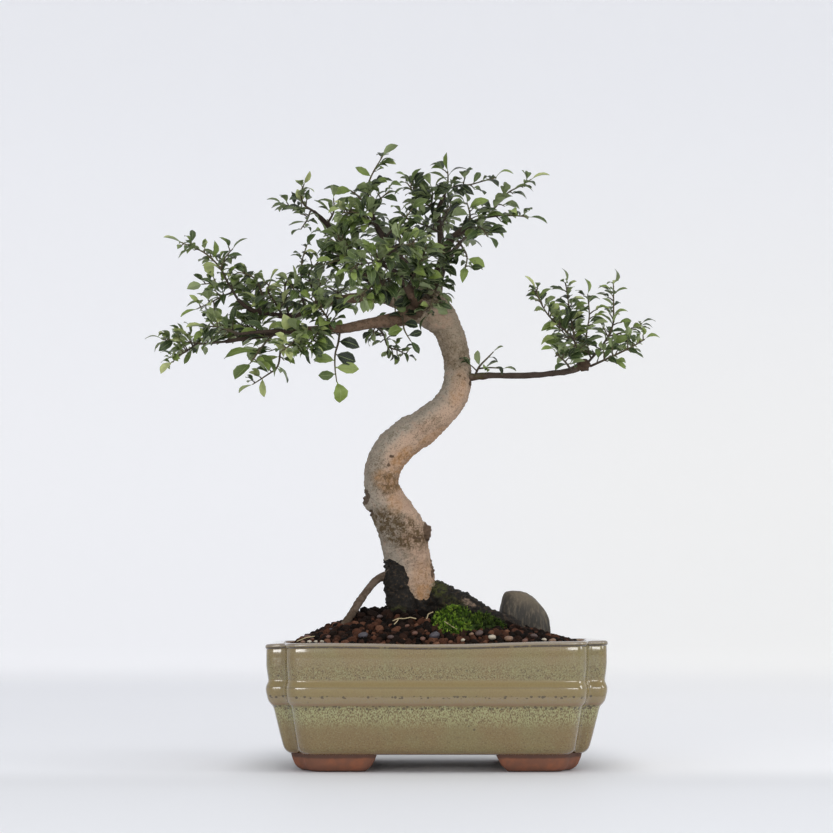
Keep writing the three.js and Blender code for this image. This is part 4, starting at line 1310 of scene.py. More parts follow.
def lump(name: str, fineness: int, roughness: float, seed: int) -> bpy.types.Mesh:
    """An irregular lump one unit across: an icosphere pushed in and out by noise.

    Args:
        name: The mesh's name.
        fineness: How often the icosphere is divided.
        roughness: How far the noise pushes.
        seed: Where in the noise it lies.

    Returns:
        The mesh.
    """
    bpy.ops.mesh.primitive_ico_sphere_add(subdivisions=fineness, radius=0.5)
    shape = bpy.context.object
    mesh = shape.data
    mesh.name = name
    for vertex in mesh.vertices:
        broad = noise.noise(vertex.co * 2.1 + Vector((seed, 0, 0)))
        small = noise.noise(vertex.co * 4.3 + Vector((0, seed, 0)))
        vertex.co *= 1 + roughness * (broad + 0.5 * small)
        vertex.co.z *= 0.82
    bpy.data.objects.remove(shape)
    return mesh


def lumps(name: str, count: int, fineness: int, roughness: float, seed: int) -> bpy.types.Collection:
    """A collection of lumps from neighbouring seeds."""
    return shape_box(name, [lump(f"{name}_{n}", fineness, roughness, seed + n) for n in range(count)])


@dataclass
class Soil:
    """Baked clay granules over a solid bed. Millimetres."""

    mound: Mound
    outline: StepCorneredOutline
    bed_drop: float = 2.6
    # The bed's sides from the floor up: height and inset
    bed_sides: tuple[tuple[float, float], ...] = (
        (14.3, 20.4), (20, 15.9), (36, 12.5), (56, 9.6), (71, 7.8),
    )
    lid_rings: int = 26
    straw_radius: float = 0.3
    crease: float = 32
    # Each clod: x, y, size and darkness
    clods: tuple[tuple[float, float, float, float], ...] = (
        (-50, -14, 6.6, 0.3), (-44.5, -12, 7.6, 0.1), (-38.5, -14, 7.8, 0.5), (-33.5, -17, 6.4, 0.2),
        (-47, -22, 6.2, 0.8), (-40, -24, 6.8, 0.6), (-31, -26, 6, 0.9), (-54, -20, 5.2, 0.6),
        (-24, -28, 6.4, 0.3), (-16, -29, 5.6, 0.2), (-8, -27, 6.2, 0.1), (-2, -24, 5.4, 0.3),
        (-20, -35, 5.8, 0.7), (-29, -36, 5.6, 0.9), (-12, -37, 5.2, 0.6), (-4, -35, 5.6, 0.2),
        (28, -26, 5, 0.2), (36, -26, 5.6, 0.6), (45, -24, 5.2, 0.3), (50, -30, 5, 0.8),
        (-30, 16, 6.6, 0.4), (-14, 22, 6.2, 0.2), (6, 20, 6, 0.6), (-44, 10, 6.6, 0.8),
    )
    # Each straw: x, y and height over the ground, along its length
    straws: tuple[tuple[Point, ...], ...] = (
        ((-27, -46, 3), (-23.5, -45, 4), (-20, -43, 3), (-16, -43, 3.8), (-12.5, -42, 2.6)),
        ((-26, -50, 2.6), (-24, -47, 3.4), (-23.5, -45, 4)),
        ((5, -50, 5), (8, -52, 4), (12.5, -55, 2.8)),
        ((-86, -52, 2.2), (-80, -54, 3.4), (-75, -52, 2.6)),
        ((-2, -33, 4.5), (-5, -38, 4.4), (-6, -43, 3.2)),
    )
    rim_inset: float = 7.2
    crumb_colours: Stops = (
        (0.0, srgb(9, 6, 4)), (0.35, srgb(25, 16, 11)), (0.65, srgb(50, 31, 22)), (0.88, srgb(80, 50, 36)),
        (1.0, srgb(112, 78, 60)),
    )

    def build(self) -> None:
        """Makes the bed, the granules and crumbs on it, the clods and the bits of root."""
        finish = Tinted("soil_granules", self.crumb_colours, 0.92, 0.9, 0.35, shine=0.12).material()
        stand_for(self.bed(finish), "soil", "soil")
        rig = strewn_copies()
        # The two layers: name, shapes, ground's reach, least gap, sizes and seed
        layers = (
            ("soil_granules", lumps("granule", 6, 2, 0.3, 21), 0.978, 3.9, (3.4, 6.8), 3),
            ("soil_crumbs", lumps("crumb", 4, 1, 0.34, 41), 0.985, 2.3, (1.5, 4.2), 8),
        )
        for name, shapes, reach, gap, (smallest, largest), seed in layers:
            made = rig.grow(
                self.top(f"{name}_ground", reach), name, shapes=shapes, material=finish, gap=gap * MM,
                smallest=smallest * MM, largest=largest * MM, tumble=math.pi, seed=seed, crease=self.crease,
            )
            stand_for(made, "soil", "soil")
        stand_for(self.placed_clods(finish), "soil", "soil")
        stand_for(self.root_bits(), "soil", "soil")

    def placed_clods(self, finish: bpy.types.Material) -> bpy.types.Object:
        """Dark clods heaped to the left of the trunk and round its foot.

        Args:
            finish: Their material.

        Returns:
            The piece.
        """
        draw = SeededDraw(91)
        table = np.array(self.clods)
        rise = self.mound.height(table[:, 0], table[:, 1]) + 0.3 * table[:, 2]
        source = points_object(
            "clod_spots", np.column_stack([table[:, :2], rise]),
            up=np.array([unit(np.array([draw.centred(), draw.centred(), 0.9])) for _ in self.clods]),
            along=np.array([[draw.centred(), draw.centred(), 0.1] for _ in self.clods]),
            size=table[:, 2:3] * np.array([[1.15, 0.95, 0.95]]) * MM,
            tint=0.55 * table[:, 3], kind=np.arange(len(table)) % 4,
        )
        shapes = lumps("clod", 4, 3, 0.55, 81)
        return posed_copies().grow(source, "soil_clods", shapes=shapes, material=finish, crease=self.crease)

    def root_bits(self) -> bpy.types.Object:
        """Pale bits of dead root and straw that lie on the granules.

        Returns:
            The piece.
        """
        rows, edges = [], []
        for path in self.straws:
            edges += chain(len(rows), len(path))
            rows += [(x, y, float(self.mound.height(x, y)) + lift) for x, y, lift in path]
        thick = np.full(len(rows), self.straw_radius) * MM
        source = points_object("straw_lines", np.array(rows), edges, thick=thick)
        finish = Plain("dry_straw", srgb(176, 160, 124), 0.8).material()
        return round_twigs().grow(source, "root_bits", sides=6, material=finish)

    def bed(self, finish: bpy.types.Material) -> bpy.types.Object:
        """The solid bed, which fills the pot and stops under the granules.

        Args:
            finish: Its material.

        Returns:
            The piece.
        """
        skin = Skin()
        rings = [self.outline.ring(inset, height) for height, inset in self.bed_sides]
        rings += [self.lid_ring(share) for share in np.linspace(1, 0.04, self.lid_rings)]
        skin.loft(rings)
        made = skin.piece("soil_bed", finish, 180)
        keep_numbers(made.data, tint=0.12)
        return made

    def lid_ring(self, share: float) -> np.ndarray:
        """One ring of the bed's top.

        Args:
            share: Its size, as a share of the pot's opening.

        Returns:
            Its points.
        """
        ring = self.outline.ring(self.rim_inset, 0)
        ring[:, :2] *= share
        ring[:, 2] = self.mound.height(ring[:, 0], ring[:, 1]) - self.bed_drop
        ring[:, 2] += [0.8 * noise.noise(Vector((x / 9, y / 9, 3.0))) for x, y, _ in ring]
        return ring

    def top(self, name: str, reach: float) -> bpy.types.Object:
        """The open top of the bed, to strew granules on.

        Args:
            name: The object's name.
            reach: How far out it goes, as a share of the pot's opening.

        Returns:
            The object, to be used up by a rig.
        """
        rings = [self.lid_ring(share) for share in np.linspace(reach, 0.03, self.lid_rings)]
        spots = np.vstack(rings) + (0, 0, 1.5)
        mesh = bpy.data.meshes.new(name)
        mesh.from_pydata(world_spots(spots).tolist(), [], ring_faces(0, len(rings), len(rings[0])))
        return placed(name, mesh)


@dataclass
class Grit:
    """Pebbles and pale crumbs among the granules. Millimetres."""

    mound: Mound
    # Pebbles that the photographed front shows: x, y, size, and place on the colour ramp
    placed: tuple[tuple[float, float, float, float], ...] = (
        (-1.0, -62, 6.6, 0.1), (-45, -60, 5.4, 0.12), (-8.5, -64, 3.6, 0.5), (34, -60, 4.6, 0.95),
        (16, -64, 2.8, 0.9), (44, -61, 5.0, 0.66), (66, -55, 3.2, 0.9), (71, -58, 4.6, 0.7),
        (-78, -58, 3.2, 0.95), (-74, -60, 2.6, 0.9), (-82, -56, 3.4, 0.7), (-70, -61, 2.4, 0.95),
        (26, -56, 5.2, 0.4), (54, -62, 4.0, 0.45), (-28, -63, 4.2, 0.3), (60, -50, 4.4, 0.3),
    )
    strewn: int = 24
    strewn_over: tuple[float, float] = (180, 128)
    seed: int = 77
    colours: Stops = (
        (0.0, srgb(64, 60, 66)), (0.2, srgb(72, 54, 48)), (0.4, srgb(96, 62, 46)), (0.6, srgb(122, 94, 72)),
        (0.85, srgb(182, 172, 152)),
    )

    def build(self) -> None:
        """Makes the placed pebbles and the strewn ones."""
        draw = SeededDraw(self.seed)
        rows = list(self.placed)
        for _ in range(self.strewn):
            x, y = (draw.centred() * span for span in self.strewn_over)
            rows.append((x, y, 2.2 + 2.6 * draw(), draw()))
        table = np.array(rows)
        rise = self.mound.height(table[:, 0], table[:, 1]) + 0.35 * table[:, 2]
        source = points_object(
            "pebble_spots", np.column_stack([table[:, :2], rise]),
            up=np.array([unit(np.array([draw.centred(), draw.centred(), 1.6])) for _ in rows]),
            along=np.array([[draw.centred(), draw.centred(), 0.1] for _ in rows]),
            size=table[:, 2:3] * np.array([[1.15, 0.95, 0.85]]) * MM,
            tint=table[:, 3], kind=np.arange(len(rows)) % 4,
        )
        finish = Tinted("grit_pebbles", self.colours, 0.55, 1.4, 0.15, "CONSTANT").material()
        shapes = lumps("pebble", 4, 2, 0.14, 61)
        made = posed_copies().grow(source, "grit_pebbles", shapes=shapes, material=finish)
        stand_for(made, "stone", "soil")


@dataclass
class RiverStone:
    """The worn stone behind the right root: square-shouldered on the left. Millimetres."""

    size: Point = (16.5, 12.0, 22.5)
    centre: Point = (56.5, 12.0, 88.0)
    shoulder: float = 2.6
    lean: float = 5.2
    levels: int = 44
    sides: int = 72

    def build(self) -> None:
        """Makes the stone from a ball that leans and is dented."""
        skin = Skin()
        heights = -np.cos(np.linspace(0.06, math.pi - 0.06, self.levels))
        skin.loft([np.array([self.spot(z, turn) for turn in turns(self.sides)]) for z in heights])
        stand_for(skin.piece("river_stone", StoneFace().material(), 60), "stone", "stone")

    def spot(self, z: float, turn: float) -> np.ndarray:
        """One place on the stone.

        Args:
            z: Height on the ball that it is made from, from -1 to 1.
            turn: Angle round it.

        Returns:
            The place's x, y and z.
        """
        flat = math.sqrt(1 - z * z)
        x, y = flat * math.cos(turn), flat * math.sin(turn)
        square = (1 - abs(z) ** self.shoulder) ** (1 / self.shoulder) / flat
        dent = 1 + 0.06 * math.sin(5 * x + 2) * math.cos(4 * y)
        place = Vector((x, y, z))
        rough = 1 + noise.noise(place * 2.4) * 0.035 + noise.noise(place * 8) * 0.014
        wide = square * dent * rough
        ball = (x * (1 - 0.12 * z) * wide, y * wide, z * rough)
        return np.array(self.size) * ball - (self.lean * z * z, 0, 0) + self.centre


@dataclass
class Moss:
    """A moss cushion at the foot of the trunk, wide on the left and trailing to the right. Millimetres."""

    mound: Mound
    left: float = -2
    right: float = 43
    front: float = -56
    back: float = -14
    rise: float = 2.6
    clump: Point = (9, -24, 4.5)
    clump_reach: float = 9
    lump_rise: float = 3.4
    root: float = 4
    sprig_leaves: int = 6
    colours: Stops = (
        (0.0, srgb(30, 38, 12)), (0.35, srgb(58, 82, 18)), (0.7, srgb(98, 134, 30)),
        (1.0, srgb(146, 172, 62)),
    )

    def build(self) -> None:
        """Makes the cushion and the tufts that cover it."""
        finish = Tinted("moss", self.colours, 0.85, 1.1, 0.4, fade=(12, 34), shine=0.2).material()
        cushion = self.cushion(finish)
        ground = placed("moss_ground", cushion.data.copy())
        stand_for(cushion, "moss", "moss")
        sprigs = shape_box("sprig", [self.sprig(n) for n in range(4)])
        tufts = strewn_copies().grow(
            ground, "moss_tufts", shapes=sprigs, material=finish, gap=0.95 * MM, smallest=1.9 * MM,
            largest=4.4 * MM, tumble=0.75, seed=2,
        )
        stand_for(tufts, "moss", "moss")

    def cushion(self, finish: bpy.types.Material) -> bpy.types.Object:
        """The solid under the tufts: domed clumps that follow the mound.

        Args:
            finish: Its material.

        Returns:
            The piece.
        """
        u, v = np.meshgrid(np.linspace(-1, 1, 60), np.linspace(-1, 1, 30))
        squeeze = np.sqrt(1 - 0.5 * v * v)
        narrow = (0.72 - 0.35 * u) * np.sqrt(1 - 0.5 * u * u)
        x = (self.left + self.right) / 2 + (self.right - self.left) / 2 * u * squeeze
        y = (self.front + self.back) / 2 + (self.back - self.front) / 2 * v * narrow + 4 * u
        away = ((x - self.clump[0]) ** 2 + (y - self.clump[1]) ** 2) / self.clump_reach ** 2
        hump = self.clump[2] * np.exp(-away)
        clumps = clouds(np.column_stack([x.ravel(), y.ravel(), np.zeros(x.size)]), (1, 7)).reshape(x.shape)
        ground = self.mound.height(x, y)
        dome = np.clip((1 - u * u) * (1 - v * v) * 1.6, 0, 1)
        top = ground + 0.3 + (self.rise + hump + self.lump_rise * clumps) * dome
        skin = Skin()
        skin.slab(np.dstack([x, y, top]), np.dstack([x, y, ground - self.root]))
        made = skin.piece("moss_cushion", finish, 180)
        keep_numbers(made.data, tint=0.25)
        return made

    def sprig(self, number: int) -> bpy.types.Mesh:
        """A tiny upright sprig of pointed leaves, one unit high.

        Args:
            number: Which of the sprigs it is.

        Returns:
            The mesh.
        """
        draw = SeededDraw(300 + number)
        spots, faces = [], []
        for turn in range(self.sprig_leaves):
            angle = turn * 2.4 + draw()
            out = 0.5 * (0.3 + draw())
            way = np.array([math.cos(angle), math.sin(angle), 0])
            side = np.array([-way[1], way[0], 0]) * 0.13
            foot = np.array([0, 0, 0.1 * turn])
            first = len(spots)
            mid = foot + way * out * 0.55 + np.array([0, 0, 0.28])
            tip = foot + way * out + np.array([0, 0, 0.5 + 0.15 * draw()])
            spots += [foot - side * 0.4, foot + side * 0.4, mid + side, mid - side, mid + [0, 0, 0.09], tip]
            order = ([0, 1, 2, 3], [0, 3, 4], [0, 4, 1], [1, 4, 2], [3, 2, 5], [3, 5, 4], [4, 5, 2])
            faces += [[first + corner for corner in reversed(face)] for face in order]
        mesh = bpy.data.meshes.new(f"sprig_{number}")
        mesh.from_pydata([tuple(spot) for spot in spots], [], faces)
        return mesh


class Face(Enum):
    """The way a shoot's leaves look: up where it spreads, to the front where it stands or hangs."""

    UP = (0.0, -0.35, 1.0)
    TILTED = (0.0, -0.8, 0.8)
    FRONT = (0.1, -1.0, 0.35)


@dataclass(frozen=True)
class Shoot:
    """A leafy shoot: its first stem leaves a limb, and the others leave the first. Millimetres."""

    limb: str
    name: str
    face: Face
    leaf: float
    spacing: float
    fill: float
    seed: int
    spur_seed: int
    stems: tuple[tuple[Point, ...], ...]


# Wood: each point is x, y, z and the radius there, in millimetres
TRUNK = (
    (-14, 4, 44, 12), (-14, 4, 66, 17), (-15, 4, 84, 16.5), (-15, 4, 105, 15), (-16, 3, 121, 14.2),
    (-19, 1, 137, 14.6), (-23, -2, 152, 14.6), (-31, -4, 167, 12.4), (-35, -6, 180, 11.2),
    (-32, -6, 193, 11.8), (-22, -5, 206, 12), (-6, -3, 217, 10.9), (5.8, 0, 227.6, 9.5),
    (12.3, 3, 237.5, 9.2), (14.6, 5, 249, 8.9), (13, 6, 263, 8.6), (10, 5, 274, 9), (5, 3, 284, 10.2),
    (-5, 0, 292, 11.8), (-15, -1, 296, 10), (-24, 0, 298, 6.5), (-33, 2, 300, 4.6),
)
LIMBS = {
    "low_left": (
        (-14, -2, 288, 6.5), (-25, -8, 284, 5), (-41, -14, 281, 3.6), (-58, -18, 277, 3.1),
        (-75, -20, 276, 2.7), (-93, -20, 275, 2), (-113, -18, 272, 1.5), (-134, -15, 269, 1.2),
    ),
    "low_left_twig": ((-91, -20, 275, 1.7), (-110, -26, 274, 1.2), (-124, -31, 272, 0.9)),
    "left": (
        (-31, 2, 300, 4.6), (-49, 6, 300, 3.5), (-65, 10, 298, 2.9), (-80, 10, 294, 2.4),
        (-94, 6, 288, 2), (-108, 1, 289, 1.6), (-119, -4, 291, 1.4), (-127, -6, 297, 1.2),
    ),
    "crown_left": (
        (-20, 2, 298, 5.5), (-31, 8, 306, 4.2), (-41, 13, 313, 3.6), (-54, 16, 320, 2.9),
        (-60, 16, 331, 2.3), (-64, 13, 341, 2), (-72, 8, 350, 1.6), (-79, 4, 356, 1.2),
    ),
    "top": (
        (-7, 2, 297, 5), (-13, 8, 312, 3.6), (-22, 10, 324, 3), (-31, 8, 335, 2.3), (-38, 3, 346, 1.7),
        (-42, 0, 356, 1.2),
    ),
    "right": (
        (-2, 2, 298, 5.5), (2, 5, 315, 3.8), (6, 5, 328, 3.2), (10, 1, 337, 2.6), (17, -4, 342, 2.1),
        (25, -7, 347, 1.7), (32, -9, 350, 1.3),
    ),
    "crown_right": (
        (5, 5, 324, 3), (3, 10, 343, 2.1), (2, 9, 358, 1.6), (6, 7, 367, 1.2),
    ),
    "back": ((-11, 6, 300, 4.5), (-14, 26, 317, 2.8), (-21, 42, 330, 1.6)),
    "back_right": ((3, 5, 319, 3), (11, 26, 332, 2), (17, 42, 342, 1.3)),
    "front": (
        (-11, -8, 294, 4.5), (-18, -27, 302, 2.6), (-25, -42, 309, 1.7), (-33, -53, 313, 1.2),
    ),
    "branch": (
        (12, 5, 248, 4.4), (25, 1, 248, 2.6), (36, -3, 248.5, 2), (54, -6, 248, 1.9), (72, -7, 249, 1.8),
        (86, -7, 251, 2), (94, -7, 255, 2.6),
    ),
}
ROOTS = {
    "free_left": (
        (-22, 0, 123, 3.2), (-32, -6, 120, 2.9), (-38, -11, 117, 2.6), (-44, -16, 110, 2.6),
        (-50, -20, 101, 2.7), (-55, -24, 93, 2.6), (-61, -28, 85, 2.5), (-68, -31, 76, 1.8),
    ),
    "ridge_right": (
        (-10, 4, 108, 9), (1, -1, 107, 9.6), (8, -4, 104, 8.5), (15.5, -6, 102, 7.9), (22, -8, 99.3, 6.7),
        (28.5, -9, 96, 5.6), (35, -10, 94, 4.8), (41, -11, 91.5, 4.7), (48, -12, 89, 4.6),
        (57, -12, 84, 3),
    ),
    "buttress_left": (
        (-24, -7, 125, 4.5), (-25, -9, 117, 7.6), (-23.5, -11, 108, 8), (-22, -13, 96, 8),
        (-24, -16, 84, 9), (-27, -20, 70, 6), (-33, -25, 56, 3.5),
    ),
}
# Old swellings on the trunk and at the end of the branch: centre and radius
BURRS = (
    (-9.5, -3, 147.5, 6.8), (-40, -5, 167.5, 6.6), (1, -1, 286, 9.6), (95, -7, 255, 4),
)
# Leafy shoots
SHOOTS = (
    Shoot("low_left", "low_left_tip", Face.TILTED, 11.5, 6.5, 0.84, 101, 110, (
        ((-134, -15, 269), (-147, -13, 268), (-160, -10, 269), (-175, -8, 271)),
        ((-153, -12, 268), (-158, -17, 263), (-164, -20, 259), (-167, -22, 255)),
    )),
    Shoot("low_left", "low_left_round", Face.FRONT, 13, 7, 0.73, 102, 101, (
        ((-124, -31, 272), (-131, -34, 274), (-138, -36, 276), (-145, -38, 276)),
    )),
    Shoot("low_left", "low_left_up", Face.FRONT, 12.5, 7, 0.45, 103, 115, (
        ((-125, -16, 270.5), (-131, -9, 277), (-139, -3, 282)),
    )),
    Shoot("low_left", "low_left_long", Face.FRONT, 18, 9, 0.26, 104, 8, (
        ((-102, -20, 274), (-108, -26, 267), (-114, -31, 258), (-117, -34, 253)),
    )),
    Shoot("low_left", "low_left_hang", Face.FRONT, 11.5, 7, 0.3, 105, 14, (
        ((-97, -20, 275), (-99, -16, 263), (-101, -14, 253), (-109, -12, 247), (-117, -10, 242)),
    )),
    Shoot("low_left", "low_left_back", Face.TILTED, 12.5, 7, 1.17, 106, 117, (
        ((-111, -18, 273), (-116, -4, 278), (-125, 9, 282), (-135, 18, 282)),
    )),
    Shoot("low_left", "low_left_front", Face.FRONT, 12.5, 7, 0.3, 107, 102, (
        ((-84, -20, 275), (-88, -36, 268), (-92, -50, 262), (-96, -60, 258)),
    )),
    Shoot("low_left", "low_hanging", Face.FRONT, 12.5, 4.2, 0, 108, 908, (
        ((-61, -18, 277), (-62, -20, 268), (-64, -21, 260), (-64, -21, 251), (-63, -20, 243)),
    )),
    Shoot("low_left", "low_side", Face.FRONT, 11.5, 7, 1.64, 109, 12, (
        ((-74, -20, 276), (-78, -31, 268), (-82, -38, 262), (-86, -43, 260)),
    )),
    Shoot("low_left", "low_top", Face.FRONT, 13, 7, 1.04, 110, 102, (
        ((-66, -19, 277), (-69, -30, 283), (-74, -38, 289), (-79, -44, 293)),
    )),
    Shoot("mid", "mid_hang_back", Face.FRONT, 8, 6, 0.77, 111, 103, (
        ((-41, -13, 281), (-34, 10, 277), (-31, 22, 270), (-24, 29, 268), (-18, 34, 265)),
    )),
    Shoot("mid", "mid_hang_light", Face.FRONT, 9, 4.5, 0, 112, 912, (
        ((-22, -4, 293), (-21, -14, 283), (-20, -18, 276), (-16, -18, 269)),
    )),
    Shoot("left", "left_tip", Face.TILTED, 12, 7, 0.45, 113, 2, (
        ((-127, -6, 297), (-133, -8, 307), (-139, -10, 318), (-149, -12, 327), (-163, -14, 333)),
        ((-138, -10, 316), (-136, -4, 324), (-131, 0, 331)),
        ((-133, -8, 306), (-142, -3, 308), (-151, 1, 308)),
        ((-130, -7, 302), (-137, -13, 298), (-145, -18, 293), (-152, -22, 289)),
    )),
    Shoot("left", "left_arch", Face.FRONT, 11.5, 7, 0.3, 114, 1, (
        ((-108, 1, 289), (-111, -4, 299), (-115, -8, 309), (-121, -10, 313), (-127, -12, 314)),
    )),
    Shoot("left", "left_back", Face.TILTED, 13, 7, 1.26, 115, 8, (
        ((-112, 0, 289), (-118, 12, 298), (-124, 20, 305), (-128, 26, 312)),
    )),
    Shoot("left", "left_mass", Face.FRONT, 13, 7, 0.39, 116, 11, (
        ((-99, 4, 288), (-103, -8, 295), (-107, -18, 301), (-105, -24, 307)),
    )),
    Shoot("left", "left_curl", Face.FRONT, 9.5, 6, 0.3, 117, 1, (
        ((-95, 6, 288), (-97, 4, 299), (-97, 2, 308), (-93, 0, 313), (-88, -2, 312)),
    )),
    Shoot("left", "left_mid", Face.FRONT, 13, 7, 0.2, 118, 11, (
        ((-80, 10, 294), (-76, 0, 300), (-74, -8, 308)),
        ((-79, 6, 296), (-86, -6, 298), (-91, -14, 303), (-94, -20, 307)),
    )),
    Shoot("left", "left_far_back", Face.UP, 12.5, 7, 0.35, 119, 8, (
        ((-91, 8, 290), (-93, 30, 297), (-97, 48, 303), (-101, 62, 308)),
    )),
    Shoot("left", "inner_far_back", Face.UP, 12.5, 7, 0.35, 120, 110, (
        ((-62, 9, 299), (-66, 30, 307), (-73, 50, 314), (-79, 66, 320)),
    )),
    Shoot("left", "left_upright", Face.FRONT, 9.5, 6, 0.45, 121, 105, (
        ((-84, 10, 293), (-87, 8, 302), (-87, 4, 314), (-86, 0, 324), (-83, -2, 333)),
    )),
    Shoot("left", "left_slender", Face.FRONT, 9, 6, 0.6, 122, 110, (
        ((-76, 10, 295), (-81, 12, 309), (-82, 10, 317), (-76, 8, 324), (-72, 6, 333)),
    )),
    Shoot("crown_left", "crown_left_tip", Face.TILTED, 10.5, 6.5, 0.45, 123, 108, (
        ((-79, 4, 356), (-85, 2, 360), (-87, 0, 366), (-85, -2, 373)),
        ((-82, 3, 358), (-88, 10, 359), (-94, 16, 361), (-101, 20, 364)),
        ((-81, 4, 357), (-83, 0, 350), (-87, -4, 343)),
    )),
    Shoot("crown_left", "crown_left_up", Face.FRONT, 12.5, 7, 0.3, 124, 103, (
        ((-70, 8, 349), (-66, 4, 356), (-66, 0, 364)),
    )),
    Shoot("crown_left", "crown_left_front", Face.FRONT, 13, 7, 0.1, 125, 103, (
        ((-52, 15, 319), (-58, 0, 322), (-63, -10, 322), (-69, -18, 318)),
        ((-58, 0, 322), (-64, 3, 327), (-70, 3, 325), (-73, 0, 318)),
    )),
    Shoot("crown_left", "crown_left_back", Face.UP, 12.5, 7, 0.13, 126, 107, (
        ((-59, 16, 330), (-64, 36, 339), (-70, 54, 346), (-76, 68, 353)),
    )),
    Shoot("crown_left", "crown_inner", Face.FRONT, 14, 8, 1.09, 127, 7, (
        ((-54, 16, 321), (-54, 4, 327), (-58, -6, 332), (-63, -12, 336)),
    )),
    Shoot("top", "top_tip", Face.FRONT, 12.5, 7, 0.3, 128, 4, (
        ((-42, 0, 356), (-44, -2, 369), (-41, -3, 379), (-34, -4, 391)),
        ((-42, -1, 360), (-36, -8, 362), (-30, -14, 366)),
    )),
    Shoot("top", "top_left", Face.TILTED, 13, 7, 0.11, 129, 111, (
        ((-40, 1, 353), (-47, 6, 363), (-54, 10, 370), (-61, 12, 373)),
    )),
    Shoot("top", "top_mid_left", Face.TILTED, 13, 7, 1.26, 130, 9, (
        ((-37, 4, 345), (-45, -8, 350), (-52, -16, 352), (-59, -22, 351)),
    )),
    Shoot("top", "top_mid_right", Face.FRONT, 12.5, 7, 0.1, 131, 114, (
        ((-33, 6, 339), (-26, -6, 344), (-20, -14, 348), (-15, -20, 354)),
    )),
    Shoot("top", "top_back", Face.UP, 12.5, 7, 0.13, 132, 111, (
        ((-35, 5, 342), (-39, 26, 351), (-43, 44, 359), (-48, 58, 365)),
    )),
    Shoot("front", "front_tip", Face.FRONT, 13, 7, 1.02, 133, 103, (
        ((-33, -53, 313), (-27, -57, 322), (-20, -60, 324), (-13, -62, 325)),
        ((-31, -54, 316), (-39, -62, 313), (-47, -68, 311), (-53, -72, 307)),
    )),
    Shoot("front", "front_right", Face.FRONT, 13, 7, 0.84, 134, 114, (
        ((-18, -27, 302), (-13, -40, 310), (-9, -48, 317), (-6, -54, 325)),
    )),
    Shoot("front", "front_low", Face.FRONT, 12.5, 7, 1.26, 135, 112, (
        ((-25, -41, 308), (-31, -50, 304), (-39, -58, 299), (-47, -62, 293)),
    )),
    Shoot("front", "front_thread", Face.FRONT, 7, 12, 0, 190, 990, (
        ((-20, -8, 320), (-22.9, -12, 312), (-26, -13, 298), (-25.4, -12, 281)),
    )),
    Shoot("front", "front_fork", Face.FRONT, 12, 7, 0.9, 191, 115, (
        ((-3, -9, 297), (-12, -20, 302), (-22, -28, 307), (-31, -32, 314)),
        ((-12, -20, 302), (-9, -30, 310), (-5, -34, 317)),
    )),
    Shoot("back", "back_tip", Face.UP, 12.5, 7, 0.62, 136, 1, (
        ((-21, 42, 330), (-28, 56, 341), (-33, 66, 348), (-40, 76, 354)),
        ((-22, 45, 333), (-17, 54, 341), (-11, 62, 349), (-5, 68, 355)),
    )),
    Shoot("crown_right", "crown_right_tip", Face.TILTED, 12.5, 6.5, 0.3, 137, 105, (
        ((6, 7, 367), (8, 4, 375), (8, 2, 382)),
        ((8, 6, 371), (15, 3, 373), (22, 1, 373), (30, 0, 375), (39, -2, 377)),
    )),
    Shoot("crown_right", "crown_right_left", Face.FRONT, 14, 7.5, 0.7, 138, 113, (
        ((2, 9, 355), (-5, 2, 360), (-12, -4, 365), (-18, -8, 372)),
        ((-3, 4, 359), (-2, -4, 365), (-3, -10, 370)),
    )),
    Shoot("crown_right", "crown_right_low", Face.TILTED, 12.5, 7, 0.56, 139, 102, (
        ((3, 9, 343), (-6, 0, 346), (-15, -8, 348), (-22, -14, 351)),
    )),
    Shoot("crown_right", "crown_right_back", Face.UP, 12.5, 7, 0.84, 140, 2, (
        ((4, 10, 348), (7, 30, 358), (11, 48, 367)),
    )),
    Shoot("right", "right_tip", Face.UP, 12.5, 7, 0.3, 141, 108, (
        ((32, -9, 350), (41, -10, 351), (51, -10, 351), (60, -10, 350)),
        ((34, -9, 351), (41, -6, 360), (47, -4, 367), (54, -3, 371), (62, -2, 376)),
    )),
    Shoot("right", "right_leafy", Face.FRONT, 12.5, 7, 0.45, 142, 114, (
        ((22, -6, 345), (22, -14, 351), (20, -18, 358)),
    )),
    Shoot("right", "right_hang", Face.FRONT, 13, 8, 0.63, 143, 1, (
        ((26, -8, 347), (30, -18, 341), (33, -24, 335)),
    )),
    Shoot("right", "right_low", Face.FRONT, 12.5, 7, 0.49, 144, 4, (
        ((13, -1, 338), (17, -9, 331), (20, -13, 324), (19, -15, 316)),
    )),
    Shoot("right", "right_back", Face.UP, 12.5, 7, 1.72, 145, 5, (
        ((17, 42, 342), (24, 54, 349), (30, 66, 355)),
    )),
    Shoot("right", "right_drop", Face.FRONT, 11.5, 7, 1.08, 146, 108, (
        ((4, 4, 326), (4, -4, 317), (1, -11, 305), (-2, -14, 296), (-5, -15, 286)),
    )),
    Shoot("branch", "branch_near", Face.FRONT, 9, 5.5, 0.07, 147, 7, (
        ((25, 1, 248), (28, -4, 254), (33, -8, 259), (37, -10, 263)),
        ((28, -3, 253), (35, -8, 253), (43, -12, 252)),
    )),
    Shoot("branch", "branch_fan_left", Face.FRONT, 10.5, 6.5, 0.71, 148, 14, (
        ((91, -7, 256), (89, -11, 269), (86, -14, 286), (83, -16, 306)),
        ((89, -11, 270), (81, -18, 277), (72, -24, 284), (66, -28, 293), (63, -30, 301)),
        ((90, -9, 262), (88, 10, 270), (85, 24, 278), (80, 34, 285)),
    )),
    Shoot("branch", "branch_fan_right", Face.FRONT, 10.5, 6.5, 0.49, 149, 111, (
        ((98, -6, 257), (108, 6, 269), (115, 12, 282), (116, 14, 297), (116, 14, 310)),
